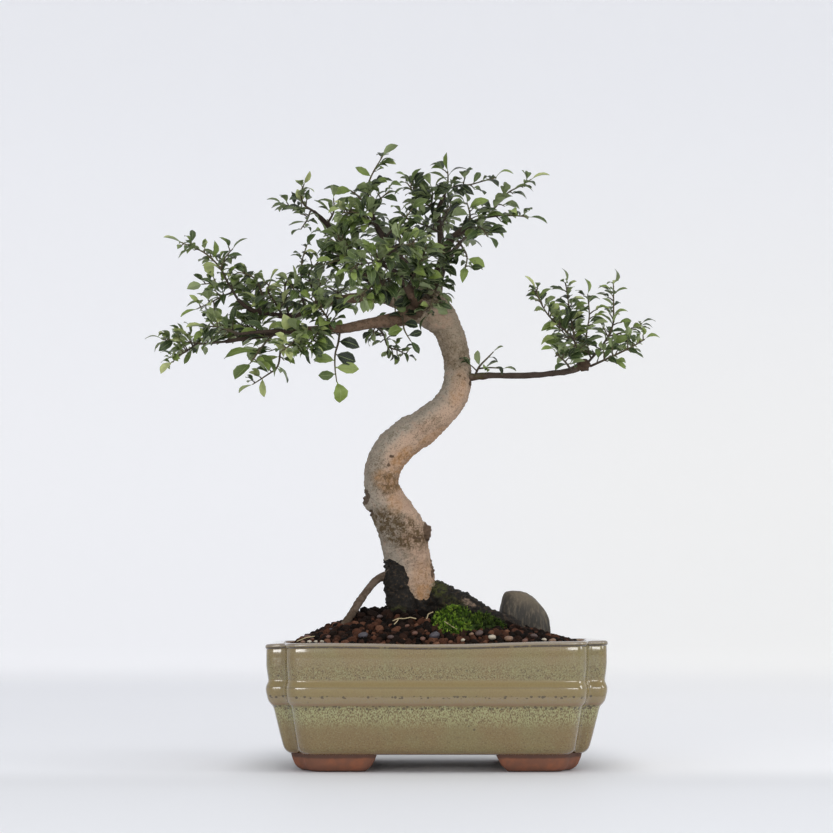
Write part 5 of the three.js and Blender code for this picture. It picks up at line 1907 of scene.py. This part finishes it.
        ((99, -5, 259), (97, -3, 274), (99, -2, 287), (98, -2, 301)),
        ((111, 10, 275), (120, 18, 278), (129, 22, 282), (135, 24, 285)),
    )),
    Shoot("branch", "branch_fan_out", Face.TILTED, 9.5, 6.5, 0.71, 150, 9, (
        ((99, -7, 254), (111, -13, 259), (124, -17, 265), (133, -19, 270)),
    )),
    Shoot("branch", "branch_low", Face.FRONT, 13, 8, 0.38, 151, 4, (
        ((87, -8, 251), (82, -18, 256), (76, -25, 260)),
    )),
)


@dataclass(frozen=True)
class Patch:
    """A blotch on the front of the bark: where, how wide and high, how it leans. Millimetres, degrees."""

    kind: str
    x: float
    z: float
    width: float
    height: float
    lean: float = 0.0
    strength: float = 1.0

    def share(self, spots: np.ndarray) -> np.ndarray:
        """How strongly the patch covers each place, fading over its rim.

        Args:
            spots: Rows of x, y and z.

        Returns:
            A share for each row.
        """
        turn = math.radians(self.lean)
        x, z = spots[:, 0] - self.x, spots[:, 2] - self.z
        along = (x * math.cos(turn) + z * math.sin(turn)) / self.width
        across = (z * math.cos(turn) - x * math.sin(turn)) / self.height
        return self.strength * smooth_step(1.3, 0.75, np.hypot(along, across))


PATCHES = (
    Patch("bare", -9, 131, 8, 10, 20, 0.3), Patch("warm", -6, 117, 8, 13, 10, 0.4),
    Patch("bare", -17.7, 143.8, 4, 3), Patch("bare", 21, 102.5, 6, 2.8, -30, 0.55),
    Patch("bare", 2.8, 284, 8, 6, 0, 0.5), Patch("bare", -21, 167, 6, 5, -30, 0.6),
    Patch("warm", -7, 109, 6, 6, 0, 0.8), Patch("warm", -31, 179.5, 9.5, 6, -30, 0.7),
    Patch("warm", -21, 193, 6, 10, -40, 0.8), Patch("warm", -3, 206, 14, 4, 38, 0.5),
    Patch("warm", 14, 240, 5, 12, -10, 0.4), Patch("warm", 46.8, 92.5, 6, 3, -25, 0.5),
    Patch("warm", -26, 165, 5, 7, 0, 0.5),
    Patch("lichen", -24, 149.5, 20, 10, -28), Patch("lichen", -31, 178, 9, 7, 0, 0.75),
    Patch("lichen", -38, 186, 6, 10, 0, 0.35), Patch("lichen", 12, 262, 8, 10, 0, 0.5),
    Patch("lichen", -4, 216, 12, 5, 20, 0.35), Patch("lichen", 2, 272, 9, 6, 0, 0.4),
    Patch("knot", -5.3, 149, 2.6, 8), Patch("knot", -45.2, 170, 3.4, 5),
    Patch("knot", -41.3, 160, 1.6, 2.2), Patch("knot", -2.2, 125, 1.3, 8, 0, 0.7),
    Patch("knot", -13.3, 290, 6, 6), Patch("knot", -8, 299, 9, 3, 0, 0.8),
    Patch("knot", 27, 244, 6, 4, 0, 0.8), Patch("knot", 95, 253, 5, 5, 0, 0.9),
    Patch("knot", 17, 247, 7, 1.6, -20, 0.5), Patch("knot", -28, 195.5, 1.6, 1.2),
    Patch("knot", -12, 144, 4, 1, 0, 0.7), Patch("knot", -30, 190, 1.2, 1),
    Patch("moss", 2, 112, 5, 5, -30, 0.8), Patch("moss", 12, 101, 9, 5, -30, 0.45),
    Patch("moss", 27, 250, 5, 3, 0, 0.9), Patch("moss", -24, 95, 6, 6, 0, 0.5),
)
# Where the dark crust ends round the pale tongue at the foot of the trunk: height, left edge, right edge
CRUST_EDGES = (
    (60, 60, 60), (103, 60, -6), (104.5, -10, -6), (106, -13.5, -4.5), (109, -15.8, -3), (114, -17.6, -1),
    (120, -18.2, 1.5), (122, -18.6, 40), (126, -20, 60), (130, -29, 60), (133, -60, 60),
)


@dataclass
class Wood:
    """The trunk with its surface roots and limbs. Millimetres."""

    voxel: float = 0.85
    ease: float = 0.5
    ease_rounds: int = 5
    stout_from: float = 2.9
    centre_steps: int = 10
    rows_at_once: int = 4000
    centres: list[np.ndarray] = field(default_factory=list)

    def build(self) -> None:
        """Makes the old wood as one welded skin, and the limbs that grow out of it."""
        finish = Bark().material()
        stout, fine = Skin(), Skin()
        self.add(stout, TRUNK, steps=5, sides=36, flute=0.022)
        for points in ROOTS.values():
            self.add(stout, points, steps=5, sides=16, flute=0.05)
        for x, y, z, radius in BURRS:
            stout.loft(self.ball(np.array([x, y, z]), radius))
        for points in LIMBS.values():
            thick = [point for point in points if point[3] > self.stout_from]
            if len(thick) > 1:
                self.add(stout, thick, steps=5, sides=16, flute=0.03)
            self.add(fine, points, steps=6, sides=12, flute=0.04)
        source = stout.piece("old_wood_source", finish)
        weld = source.modifiers.new("weld", "REMESH")
        weld.mode = "VOXEL"
        weld.voxel_size = self.voxel * MM
        ease = source.modifiers.new("ease", "SMOOTH")
        ease.factor = self.ease
        ease.iterations = self.ease_rounds
        for wood in (settle(source, "trunk_and_roots"), fine.piece("limbs", finish, 180)):
            self.dress(wood)
            stand_for(wood, "bark", "trunk_and_limbs")

    def add(self, skin: Skin, points: Sequence[Sequence], steps: int, sides: int, flute: float) -> None:
        """Adds one stretch of wood, and keeps its centres to find girths by.

        Args:
            skin: The skin to add it to.
            points: Rows of x, y, z and radius.
            steps: Rings between one point and the next.
            sides: Points round each ring.
            flute: How far the section waves, as a share of the radius.
        """
        skin.tube(curve_through(points, steps), sides, flute)
        self.centres.append(curve_through(points, self.centre_steps))

    @staticmethod
    def ball(centre: np.ndarray, radius: float, levels: int = 12, sides: int = 20) -> list[np.ndarray]:
        """Rings of a ball.

        Args:
            centre: Its middle.
            radius: Its radius.
            levels: How many rings there are.
            sides: Points in each ring.

        Returns:
            The rings, from the lowest up.
        """
        angles = turns(sides)
        rings = []
        for polar in np.linspace(math.pi - 0.1, 0.1, levels):
            flat = radius * math.sin(polar)
            high = np.full(sides, radius * math.cos(polar))
            rings.append(centre + np.column_stack([flat * np.cos(angles), flat * np.sin(angles), high]))
        return rings

    def dress(self, wood: bpy.types.Object) -> None:
        """Roughens the bark and keeps on each point what grows there.

        Args:
            wood: The piece of wood.
        """
        mesh = wood.data
        spots, normals = mesh_rows(mesh)
        kinds = ("warm", "bare", "lichen", "knot", "crust", "moss")
        fields = {kind: np.zeros(len(spots)) for kind in kinds}
        front = smooth_step(0.35, -0.15, normals[:, 1])
        for patch in PATCHES:
            fields[patch.kind] = np.maximum(fields[patch.kind], patch.share(spots) * front)
        fields["girth"] = self.girth_at(spots)
        fields["crust"] = np.maximum(fields["crust"], self.crusted(spots, normals, fields))
        # Painted light: greyer where the bark faces left and up, towards the light and the sky
        fields["sky_lit_side"] = np.clip(0.35 - 0.75 * normals[:, 0] + 0.25 * normals[:, 2], 0, 1)
        # Painted shade on the thick wood's sides that turn away from the front
        turned = smooth_step(-0.55, 0.1, normals[:, 1])
        fields["shaded"] = 0.4 * turned * smooth_step(6, 9, fields["girth"])
        self.roughen(mesh, spots, normals, fields)
        keep_numbers(mesh, **fields)
        smooth_mesh(mesh)

    @staticmethod
    def crusted(spots: np.ndarray, normals: np.ndarray, fields: dict[str, np.ndarray]) -> np.ndarray:
        """How crusted the bark is: all round its foot, but for the pale tongue in front.

        Args:
            spots: The bark's points.
            normals: The way that each faces.
            fields: What is known of each point so far.

        Returns:
            A share for each point.
        """
        heights, lefts, rights = np.array(CRUST_EDGES, float).T
        ragged = clouds(spots, (1, 5.5), (0.4, 2.2))
        high = spots[:, 2] + 2.4 * ragged
        left = smooth_step(1.2, -1.2, spots[:, 0] - np.interp(high, heights, lefts) - 2 * ragged)
        right = smooth_step(-1.2, 1.2, spots[:, 0] - np.interp(high, heights, rights) - 2 * ragged)
        hidden = smooth_step(0.1, 0.6, normals[:, 1]) * smooth_step(124, 104, spots[:, 2])
        low = np.maximum(np.maximum(left, right), hidden)
        stout = smooth_step(3, 4.4, fields["girth"])
        bald = 1 - np.minimum(1, fields["bare"] + fields["warm"]) * smooth_step(5, 9, spots[:, 0])
        return low * np.maximum(stout, 0.15) * bald

    def girth_at(self, spots: np.ndarray) -> np.ndarray:
        """How thick the wood is at each place on its skin.

        Args:
            spots: Rows of x, y and z.

        Returns:
            The radius of the stretch of wood whose skin each place lies on.
        """
        table = np.vstack(self.centres).astype(np.float32)
        found = []
        parts = max(1, len(spots) // self.rows_at_once)
        for part in np.array_split(spots.astype(np.float32), parts):
            away = np.linalg.norm(part[:, None] - table[None, :, :3], axis=2)
            found.append(table[np.argmin(np.abs(away - table[:, 3]), axis=1), 3])
        return np.concatenate(found).astype(float)

    @staticmethod
    def roughen(
        mesh: bpy.types.Mesh, spots: np.ndarray, normals: np.ndarray, fields: dict[str, np.ndarray]
    ) -> None:
        """Pushes the bark in and out: lumps, creases, and plates where it is crusted.

        Args:
            mesh: The bark's mesh, which is changed.
            spots: Its points.
            normals: The way that each faces.
            fields: What is known of each point.
        """
        swell = clouds(spots, (1, 10), (0.5, 4.4))
        grain = np.array([noise.turbulence(Vector(spot) / 3.0, 3, False) for spot in spots * (1, 1, 1.9)])
        plates = np.zeros(len(spots))
        for place in np.flatnonzero(fields["crust"] > 0.05):
            near = noise.voronoi(Vector(spots[place]) / 4.6)[0]
            plates[place] = smooth_step(0.0, 0.35, near[1] - near[0])
        size = np.clip(fields["girth"] / 10, 0.08, 1)
        push = (0.85 * swell + fields["crust"] * (0.1 + 1.3 * plates)) * size
        push -= (0.6 * size ** 0.6 + 1.1 * fields["knot"] + 0.5 * fields["crust"]) * grain
        push += 0.5 * fields["moss"] * (0.5 + swell)
        moved = world_spots(spots + normals * push[:, None])
        mesh.vertices.foreach_set("co", moved.astype(np.float32).ravel())
        mesh.update()


@dataclass(frozen=True)
class Habit:
    """How the leaves of a shoot sit on it."""

    # Radians out from the stem, how far a leaf strays from the shoot's plane, and how far it droops
    angle: float
    stray: float
    droop: float = 0.0
    # Share of a leaf's rise and fall that is kept
    level: float = 1.0
    # How much the upper face keeps to the shoot's plane, where else it looks, and how loosely
    plane: float = 1.0
    sky: Point = (0.0, 0.0, 0.0)
    loose: float = 0.4
    # Least width, the width that makes a leaf no paler, and the length, against the usual
    width: float = 1.0
    plain_width: float = 1.0
    length: float = 1.0


# The open fan without spurs, and the shoots that fill the crown
FAN = Habit(angle=1.5, stray=0.3, width=1.3, plain_width=1.7, length=1.1)
FULL = Habit(
    angle=0.95, stray=0.7, droop=0.12, level=0.6, plane=0.3, sky=(0.0, -0.2, 1.0), loose=1.7, width=0.88,
)


@dataclass
class Leaf:
    """Where one leaf sits and how it is turned and sized. Millimetres."""

    base: np.ndarray
    along: np.ndarray
    up: np.ndarray
    length: float
    wide: float
    tint: float


class Stem:
    """A stem's path, to find places along it by their distance from its foot."""

    def __init__(self, path: np.ndarray) -> None:
        """Measures the path.

        Args:
            path: Its points, from the foot up.
        """
        self.path = path
        self.lengths = np.concatenate([[0], np.cumsum(np.linalg.norm(np.diff(path, axis=0), axis=1))])
        self.whole = self.lengths[-1]

    def at(self, distance: float) -> tuple[np.ndarray, np.ndarray]:
        """One place on the stem.

        Args:
            distance: How far along it is.

        Returns:
            The place, and the way the stem runs there.
        """
        span = min(max(int(np.searchsorted(self.lengths, distance)), 1), len(self.path) - 1)
        place = np.array([np.interp(distance, self.lengths, column) for column in self.path.T])
        return place, unit(self.path[span] - self.path[span - 1])


@dataclass
class Foliage:
    """All leafy shoots, gathered by the limb that they grow from. Millimetres."""

    first_leaf: float = 9.0
    first_side_leaf: float = 5.0
    stem_radius: float = 0.85
    side_stem_radius: float = 0.65
    stem_tip_radius: float = 0.38
    spur_radii: tuple[float, float] = (0.5, 0.3)
    spur_gap: float = 1.75
    spur_end: float = 0.97
    shapes: int = 9
    # One blade, as shares of its length
    half_width: float = 0.205
    arch: float = 0.15
    stations: int = 8
    stick_colours: Stops = ((0.0, srgb(46, 34, 28)), (1.0, srgb(88, 80, 50)))

    def build(self) -> None:
        """Makes the leaves and the twigs of each limb."""
        shapes = shape_box("elm_leaf", [self.blade(number) for number in range(self.shapes)])
        green = LeafSkin().material()
        stick = Tinted("green_twig", self.stick_colours, 0.8, 1.0, 0.1).material()
        leaf_rig, twig_rig = posed_copies(), round_twigs()
        for limb in dict.fromkeys(shoot.limb for shoot in SHOOTS):
            shoots = [shoot for shoot in SHOOTS if shoot.limb == limb]
            nodes = [f"spray_{shoot.name}" for shoot in shoots if f"spray_{shoot.name}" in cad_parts]
            leaves: list[Leaf] = []
            twigs: list[np.ndarray] = []
            for shoot in shoots:
                self.grow(shoot, leaves, twigs)
            source = self.spots(limb, leaves)
            copies = leaf_rig.grow(source, f"leaves_{limb}", shapes=shapes, material=green, crease=50)
            stand_for(copies, "leaf", *nodes)
            sticks = twig_rig.grow(self.lines(limb, twigs), f"twigs_{limb}", sides=7, material=stick)
            stand_for(sticks, "leaf", *nodes)

    def grow(self, shoot: Shoot, leaves: list[Leaf], twigs: list[np.ndarray]) -> None:
        """Adds one shoot, with short side spurs where it is dense.

        Args:
            shoot: The shoot.
            leaves: Where its leaves are added.
            twigs: Where its stems and spurs are added.
        """
        draw, spur_draw = SeededDraw(shoot.seed), SeededDraw(shoot.spur_seed)
        main: np.ndarray | None = None
        for points in shoot.stems:
            path = curve_through(points, 5)
            if main is None:
                main, radius, start = path, self.stem_radius, self.first_leaf
            else:
                path[0] = main[np.argmin(np.linalg.norm(main - path[0], axis=1))]
                radius, start = self.side_stem_radius, self.first_side_leaf
            twigs.append(self.tapered(path, radius, self.stem_tip_radius))
            leaves.extend(self.ranks(Stem(path), shoot, draw, start))
            self.spurs(Stem(path), shoot, spur_draw, 0.5 * start, leaves, twigs)

    def ranks(self, stem: Stem, shoot: Shoot, draw: SeededDraw, start: float) -> list[Leaf]:
        """Leaves in two ranks along a stem, and one at its tip.

        Args:
            stem: The stem.
            shoot: The shoot that it is part of.
            draw: The row of random numbers to draw from.
            start: How far along the first leaf sits.

        Returns:
            The leaves, from the foot to the tip.
        """
        room = stem.whole - start
        count = max(2, round(room / shoot.spacing))
        made = []
        for number in range(count + 1):
            last = number == count
            jitter = 0.3 * draw.centred()
            at = stem.whole if last else start + (number + jitter) * room / count
            side = 0 if last else (-1) ** number
            made.append(self.pose(*stem.at(at), shoot, draw, side, at / stem.whole))
        return made

    def pose(
        self, base: np.ndarray, way: np.ndarray, shoot: Shoot, draw: SeededDraw, side: int, share: float
    ) -> Leaf:
        """Turns one leaf out from its stem and into the shoot's plane.

        Args:
            base: Where it sits.
            way: The way the stem runs there.
            shoot: The shoot.
            draw: The row of random numbers to draw from.
            side: 1 or -1 for the two ranks, or 0 at the tip.
            share: How far along the stem it sits.

        Returns:
            The leaf.
        """
        habit = FULL if shoot.fill else FAN
        up = np.array(shoot.face.value)
        up = unit(up - way * up.dot(way))
        across = np.cross(up, way)
        angle = side * (habit.angle + 0.5 * draw.centred())
        along = way * math.cos(angle) + across * math.sin(angle) + up * habit.stray * (draw() - 0.4)
        along = unit(along * (1, 1, habit.level) - np.array([0, 0, habit.droop]))
        up = self.facing(base, along, up + across * 1.1 * draw.centred(), habit)
        size = 0.72 + 0.36 * math.sin(math.pi * (0.12 + 0.76 * share)) + 0.3 * draw.centred()
        wide = habit.width + 0.3 * draw()
        pale = 0.34 * share ** 2 + 0.3 * (wide - habit.plain_width) + 0.12 * math.sin(shoot.seed * 2.3)
        length = shoot.leaf * (size if side else 1) * habit.length
        return Leaf(base, along, up, length, wide, self.tint(base, pale))

    @staticmethod
    def facing(base: np.ndarray, along: np.ndarray, up: np.ndarray, habit: Habit) -> np.ndarray:
        """The way a leaf's upper face looks.

        Args:
            base: Where the leaf is.
            along: The way that it points.
            up: The way that its face would look in the shoot's plane.
            habit: How the shoot's leaves sit.

        Returns:
            The way, square to the leaf.
        """
        stir = np.array([noise.noise(Vector(base) / 2.6 + Vector((0, 0, 40 * axis))) for axis in range(3)])
        up = habit.plane * up + np.array(habit.sky) + habit.loose * stir
        return unit(up - along * up.dot(along))

    @staticmethod
    def tint(base: np.ndarray, extra: float) -> float:
        """How light a leaf is: painted shade keeps it dark in the middle of the crown and towards the back,
        lighter far out to the left and right.

        Args:
            base: Where the leaf is.
            extra: What makes this one lighter.

        Returns:
            Its place on the leaves' ramp.
        """
        # Painted shade: darker near the middle of the crown and, by 0.003 per millimetre, towards the back
        outer = abs(base[0] + 5) / 130
        shade = 0.3 * noise.noise(Vector(base) / 24) + 0.8 * noise.noise(Vector(base) / 2.4)
        return min(max(0.08 + 0.36 * outer - 0.003 * base[1] + shade + extra, 0), 1)

    def spurs(
        self, stem: Stem, shoot: Shoot, draw: SeededDraw, start: float, leaves: list[Leaf], twigs: list
    ) -> None:
        """Adds short spurs that carry three leaves each.

        Args:
            stem: The stem that they leave.
            shoot: The shoot that it is part of.
            draw: The row of random numbers to draw from.
            start: How far along the first spur may sit.
            leaves: Where the leaves are added.
            twigs: Where the spurs are added.
        """
        room = stem.whole - start
        count = round(shoot.fill * room / self.spur_gap)
        for number in range(count):
            at = min(start + (number + 0.8 * draw()) * room / count, self.spur_end * stem.whole)
            base, way = stem.at(at)
            turn = math.tau * draw()
            side = unit(np.cross(way, (0.0, 1.0, 0.2)))
            out = side * math.cos(turn) + np.cross(way, side) * math.sin(turn)
            aim = unit(out + 0.45 * way + np.array([0, 0, 0.15]))
            slack = 1.1 - 0.55 * at / stem.whole
            reach = (3 + 6 * draw()) * slack
            tip = base + aim * reach
            bend = base + aim * reach * 0.5 + np.array([0, 0, 0.5])
            twigs.append(self.tapered(np.array([base, bend, tip]), *self.spur_radii))
            for turned in (-1, 0, 1):
                lift = aim + 0.95 * (np.cross(aim, out + 0.2) * turned) + 0.3 * draw.centred()
                lift = unit(lift * (1, 1, FULL.level))
                foot = bend * 0.6 + tip * 0.4 if turned else tip
                up = self.facing(foot + lift, lift, np.array(shoot.face.value), FULL)
                size = shoot.leaf * (0.62 + 0.56 * draw()) * (0.3 + 0.7 * slack)
                wide = 0.9 + 0.4 * draw()
                leaves.append(Leaf(foot, lift, up, size, wide, self.tint(foot + lift, 0.25 * draw())))

    @staticmethod
    def tapered(path: np.ndarray, start: float, end: float) -> np.ndarray:
        """The path with a radius that runs evenly from start to end."""
        return np.column_stack([path, np.linspace(start, end, len(path))])

    def spots(self, limb: str, leaves: list[Leaf]) -> bpy.types.Object:
        """The points that hold each leaf's pose.

        Args:
            limb: The limb that the leaves are gathered by.
            leaves: The leaves.

        Returns:
            The object, to be used up by a rig.
        """
        length, wide, tint = np.array([(leaf.length, leaf.wide, leaf.tint) for leaf in leaves]).T
        return points_object(
            f"leaf_spots_{limb}", np.array([leaf.base for leaf in leaves]),
            up=np.array([leaf.up for leaf in leaves]), along=np.array([leaf.along for leaf in leaves]),
            size=np.column_stack([length, length * wide, length]) * MM,
            kind=np.arange(len(leaves)) * 7 % self.shapes, tint=tint,
        )

    @staticmethod
    def lines(limb: str, twigs: list[np.ndarray]) -> bpy.types.Object:
        """The edges that hold each twig's radius.

        Args:
            limb: The limb that the twigs are gathered by.
            twigs: Rows of x, y, z and radius for each twig.

        Returns:
            The object, to be used up by a rig.
        """
        edges, first = [], 0
        for twig in twigs:
            edges += chain(first, len(twig))
            first += len(twig)
        rows = np.vstack(twigs)
        hue = np.concatenate([np.linspace(0.1, 1, len(twig)) for twig in twigs])
        return points_object(f"twig_lines_{limb}", rows[:, :3], edges, thick=rows[:, 3] * MM, tint=hue)

    def blade(self, number: int) -> bpy.types.Mesh:
        """An elm leaf one unit long: a short stalk, a toothed edge and a fold along the midrib.

        Args:
            number: Which of the leaf shapes it is.

        Returns:
            The mesh, with its underside marked and mapped along and across.
        """
        draw = SeededDraw(500 + number)
        arch = self.arch * (0.3 + 1.5 * draw())
        fold = 0.1 + 0.5 * draw()
        sway = 0.12 * draw.centred()
        slim = 0.76 + 0.36 * draw()
        shares = np.concatenate([[0, 0.05], np.linspace(0.1, 1, self.stations)])
        spots = []
        for step, share in enumerate(shares):
            body = max(0.0, (share - 0.1) / 0.9)
            width = self.half_width * slim * math.sin(math.pi * body ** 1.08) ** 0.68 if 0 < body < 1 else 0
            tooth = 1.05 if step % 2 else 0.96
            width = max(width * tooth, 0.02 if share < 0.99 else 0.004)
            rise = arch * 4 * share * (1 - share)
            middle = sway * math.sin(math.pi * share)
            crown = 0.016 if share < 0.98 else 0.004
            ripple = 0.02 * math.sin(9 * share + number)
            spots += [
                (share, middle - width, rise + fold * width + ripple * body),
                (share, middle, rise - crown),
                (share, middle + width, rise + fold * width - ripple * body),
                (share, middle, rise + crown),
            ]
        faces = ring_faces(0, len(shares), 4)
        # The first two sides of each ring are the underside, and the midrib is half way across
        unders = [float(face[0] % 4 < 2) for face in faces]
        across = (0.0, 0.5, 1.0, 0.5)
        mapped = [(shares[corner // 4], across[corner % 4]) for face in faces for corner in face]
        end = len(spots) - 4
        faces += [[3, 2, 1, 0], [end, end + 1, end + 2, end + 3]]
        unders += [0.0, 0.0]
        mapped += [(0.0, 0.5)] * 4 + [(1.0, 0.5)] * 4
        mesh = bpy.data.meshes.new(f"elm_leaf_{number}")
        mesh.from_pydata(spots, [], faces)
        mesh.uv_layers.new(name="blade").data.foreach_set("uv", np.array(mapped, np.float32).ravel())
        marks = mesh.attributes.new("underside", "FLOAT", "FACE")
        marks.data.foreach_set("value", np.array(unders, np.float32))
        return mesh


@dataclass
class Drainage:
    """The screens over the drain holes and the wire clips that hold them."""

    def build(self) -> None:
        """Gives the frame's own small parts their finishes."""
        plastic = Plain("black_plastic", srgb(26, 27, 28), 0.5).material()
        metal = Plain("aluminium_wire", srgb(190, 191, 194), 0.35, 1.0).material()
        for side in ("left", "right"):
            for node, finish in ((f"drain_screen_{side}", plastic), (f"screen_clip_{side}", metal)):
                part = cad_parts[node]
                part.data.materials.clear()
                part.data.materials.append(finish)


@dataclass(frozen=True)
class Backdrop(Finish):
    """Pale paper that glows behind the pot, and a little less high up."""

    name: str = "pale_floor"
    paper: Colour = srgb(224, 225, 227)
    none: Colour = srgb(0, 0, 0)
    front: Colour = srgb(52, 52, 54)
    # The glow on the left and on the right, from near the pot to the wall
    near: tuple[Colour, Colour] = (srgb(97, 97, 100), srgb(110, 108, 106))
    middle: tuple[Colour, Colour] = (srgb(111, 111, 114), srgb(129, 127, 124))
    wall: tuple[Colour, Colour] = (srgb(149, 148, 149), srgb(151, 149, 143))
    high: Colour = srgb(130, 130, 133)

    def sockets(self, graph: Graph) -> dict[str, Any]:
        """Builds the paper, a little brighter and warmer on the right.

        Args:
            graph: The material's graph.

        Returns:
            A value for each socket of the shader.
        """
        across, depth, height = graph.parts(graph.millimetres())
        side = across.step(-400, 600)
        near, middle, wall = (graph.mix(side, *pair) for pair in (self.near, self.middle, self.wall))
        colour = graph.layered(
            graph.mix(depth.step(-64, -220), self.none, self.front),
            (abs(across).step(96, 140) * depth.step(-160, 0), near),
            (depth.step(85, 260), near),
            (depth.step(300, 1200), middle),
            (depth.step(1100, 2500), wall),
            (height.step(0, 120), graph.mix(height.step(300, 1500), wall, self.high)),
        )
        return {
            "Base Color": self.paper,
            "Roughness": 0.6,
            "Emission Color": colour,
            "Emission Strength": 1.0,
        }


@dataclass
class SoftBox:
    """One area light: where it stands, what it looks at, its size in metres and its power."""

    name: str
    place: Point
    size: tuple[float, float]
    watts: float
    target: Point = (0.0, 0.0, 0.2)

    def build(self) -> None:
        """Puts the light in the scene."""
        light = bpy.data.lights.new(self.name, "AREA")
        light.shape = "RECTANGLE"
        light.size, light.size_y = self.size
        light.energy = self.watts
        made = placed(self.name, light)
        made.location = self.place
        look = Vector(self.target) - Vector(self.place)
        made.rotation_euler = look.to_track_quat("-Z", "Y").to_euler()


@dataclass
class Studio:
    """A pale floor that curves up far behind, soft lights and the camera."""

    # In millimetres from the middle of the pot's underside, and in degrees
    camera_place: Point = (-12.3, -1500.0, 103.4)
    camera_tilt: float = 4.53
    lens: float = 101.2
    film_width: float = 36
    # In metres
    clip_start: float = 0.05
    floor_reach: float = 3.2
    floor_drop: float = 0.0002
    cove: float = 1.2
    wall_top: float = 2.6
    floor_sides: int = 96
    sky: Colour = srgb(236, 238, 243)
    sky_strength: float = 0.66
    boxes: tuple[SoftBox, ...] = (
        SoftBox("overhead", (0.1, -0.5, 1.9), (1.8, 1.5), 10.2),
        SoftBox("left_box", (-0.8, -1.93, 0.44), (1.2, 0.3), 11),
        SoftBox("right_box", (0.85, -1.9, 0.44), (1.2, 0.26), 8),
        SoftBox("right_side", (1.7, -0.6, 0.7), (0.4, 0.8), 7),
    )

    def build(self) -> None:
        """Makes the floor, the lights, the sky and the camera."""
        self.floor()
        for box in self.boxes:
            box.build()
        world = bpy.context.scene.world or bpy.data.worlds.new("pale_sky")
        bpy.context.scene.world = world
        world.use_nodes = True
        sky = world.node_tree.nodes["Background"]
        sky.inputs["Color"].default_value = self.sky
        sky.inputs["Strength"].default_value = self.sky_strength
        bpy.context.scene.view_settings.view_transform = "Standard"
        self.camera()

    def floor(self) -> None:
        """A wide disc whose rim curves up into a wall all round."""
        rows = [(reach, 0.0) for reach in np.linspace(0.02, self.floor_reach, 12)]
        rows += [
            (self.floor_reach + self.cove * math.sin(turn), self.cove * (1 - math.cos(turn)))
            for turn in np.linspace(0, math.pi / 2, 12)[1:]
        ]
        rows.append((self.floor_reach + self.cove, self.wall_top))
        spots = [
            (reach * math.cos(turn), reach * math.sin(turn), height - self.floor_drop)
            for reach, height in rows for turn in turns(self.floor_sides)
        ]
        # The rings widen upwards here, so their faces are turned over
        faces = [[a, d, c, b] for a, b, c, d in ring_faces(0, len(rows), self.floor_sides)]
        mesh = bpy.data.meshes.new("studio_floor")
        mesh.from_pydata(spots, [], [list(range(self.floor_sides)), *faces])
        mesh.materials.append(Backdrop().material())
        smooth_mesh(mesh)
        placed("studio_floor", mesh)

    def camera(self) -> None:
        """The camera, low in front and tilted up a little."""
        lens = bpy.data.cameras.new("front_camera")
        lens.lens = self.lens
        lens.sensor_width = self.film_width
        lens.clip_start = self.clip_start
        made = placed("front_camera", lens)
        made.location = world_spots(self.camera_place)
        made.rotation_euler = (math.radians(90 + self.camera_tilt), 0, 0)
        bpy.context.scene.camera = made


def main() -> None:
    """Builds the pot from the table up, then the tree, then the studio."""
    logging.basicConfig(level=logging.INFO, format="%(message)s")
    pot = Pot()
    pot.build()
    Drainage().build()
    mound = Mound()
    Soil(mound, pot.outline).build()
    Grit(mound).build()
    RiverStone().build()
    Moss(mound).build()
    Wood().build()
    Foliage().build()
    Studio().build()


if __name__ == "__main__":
    main()
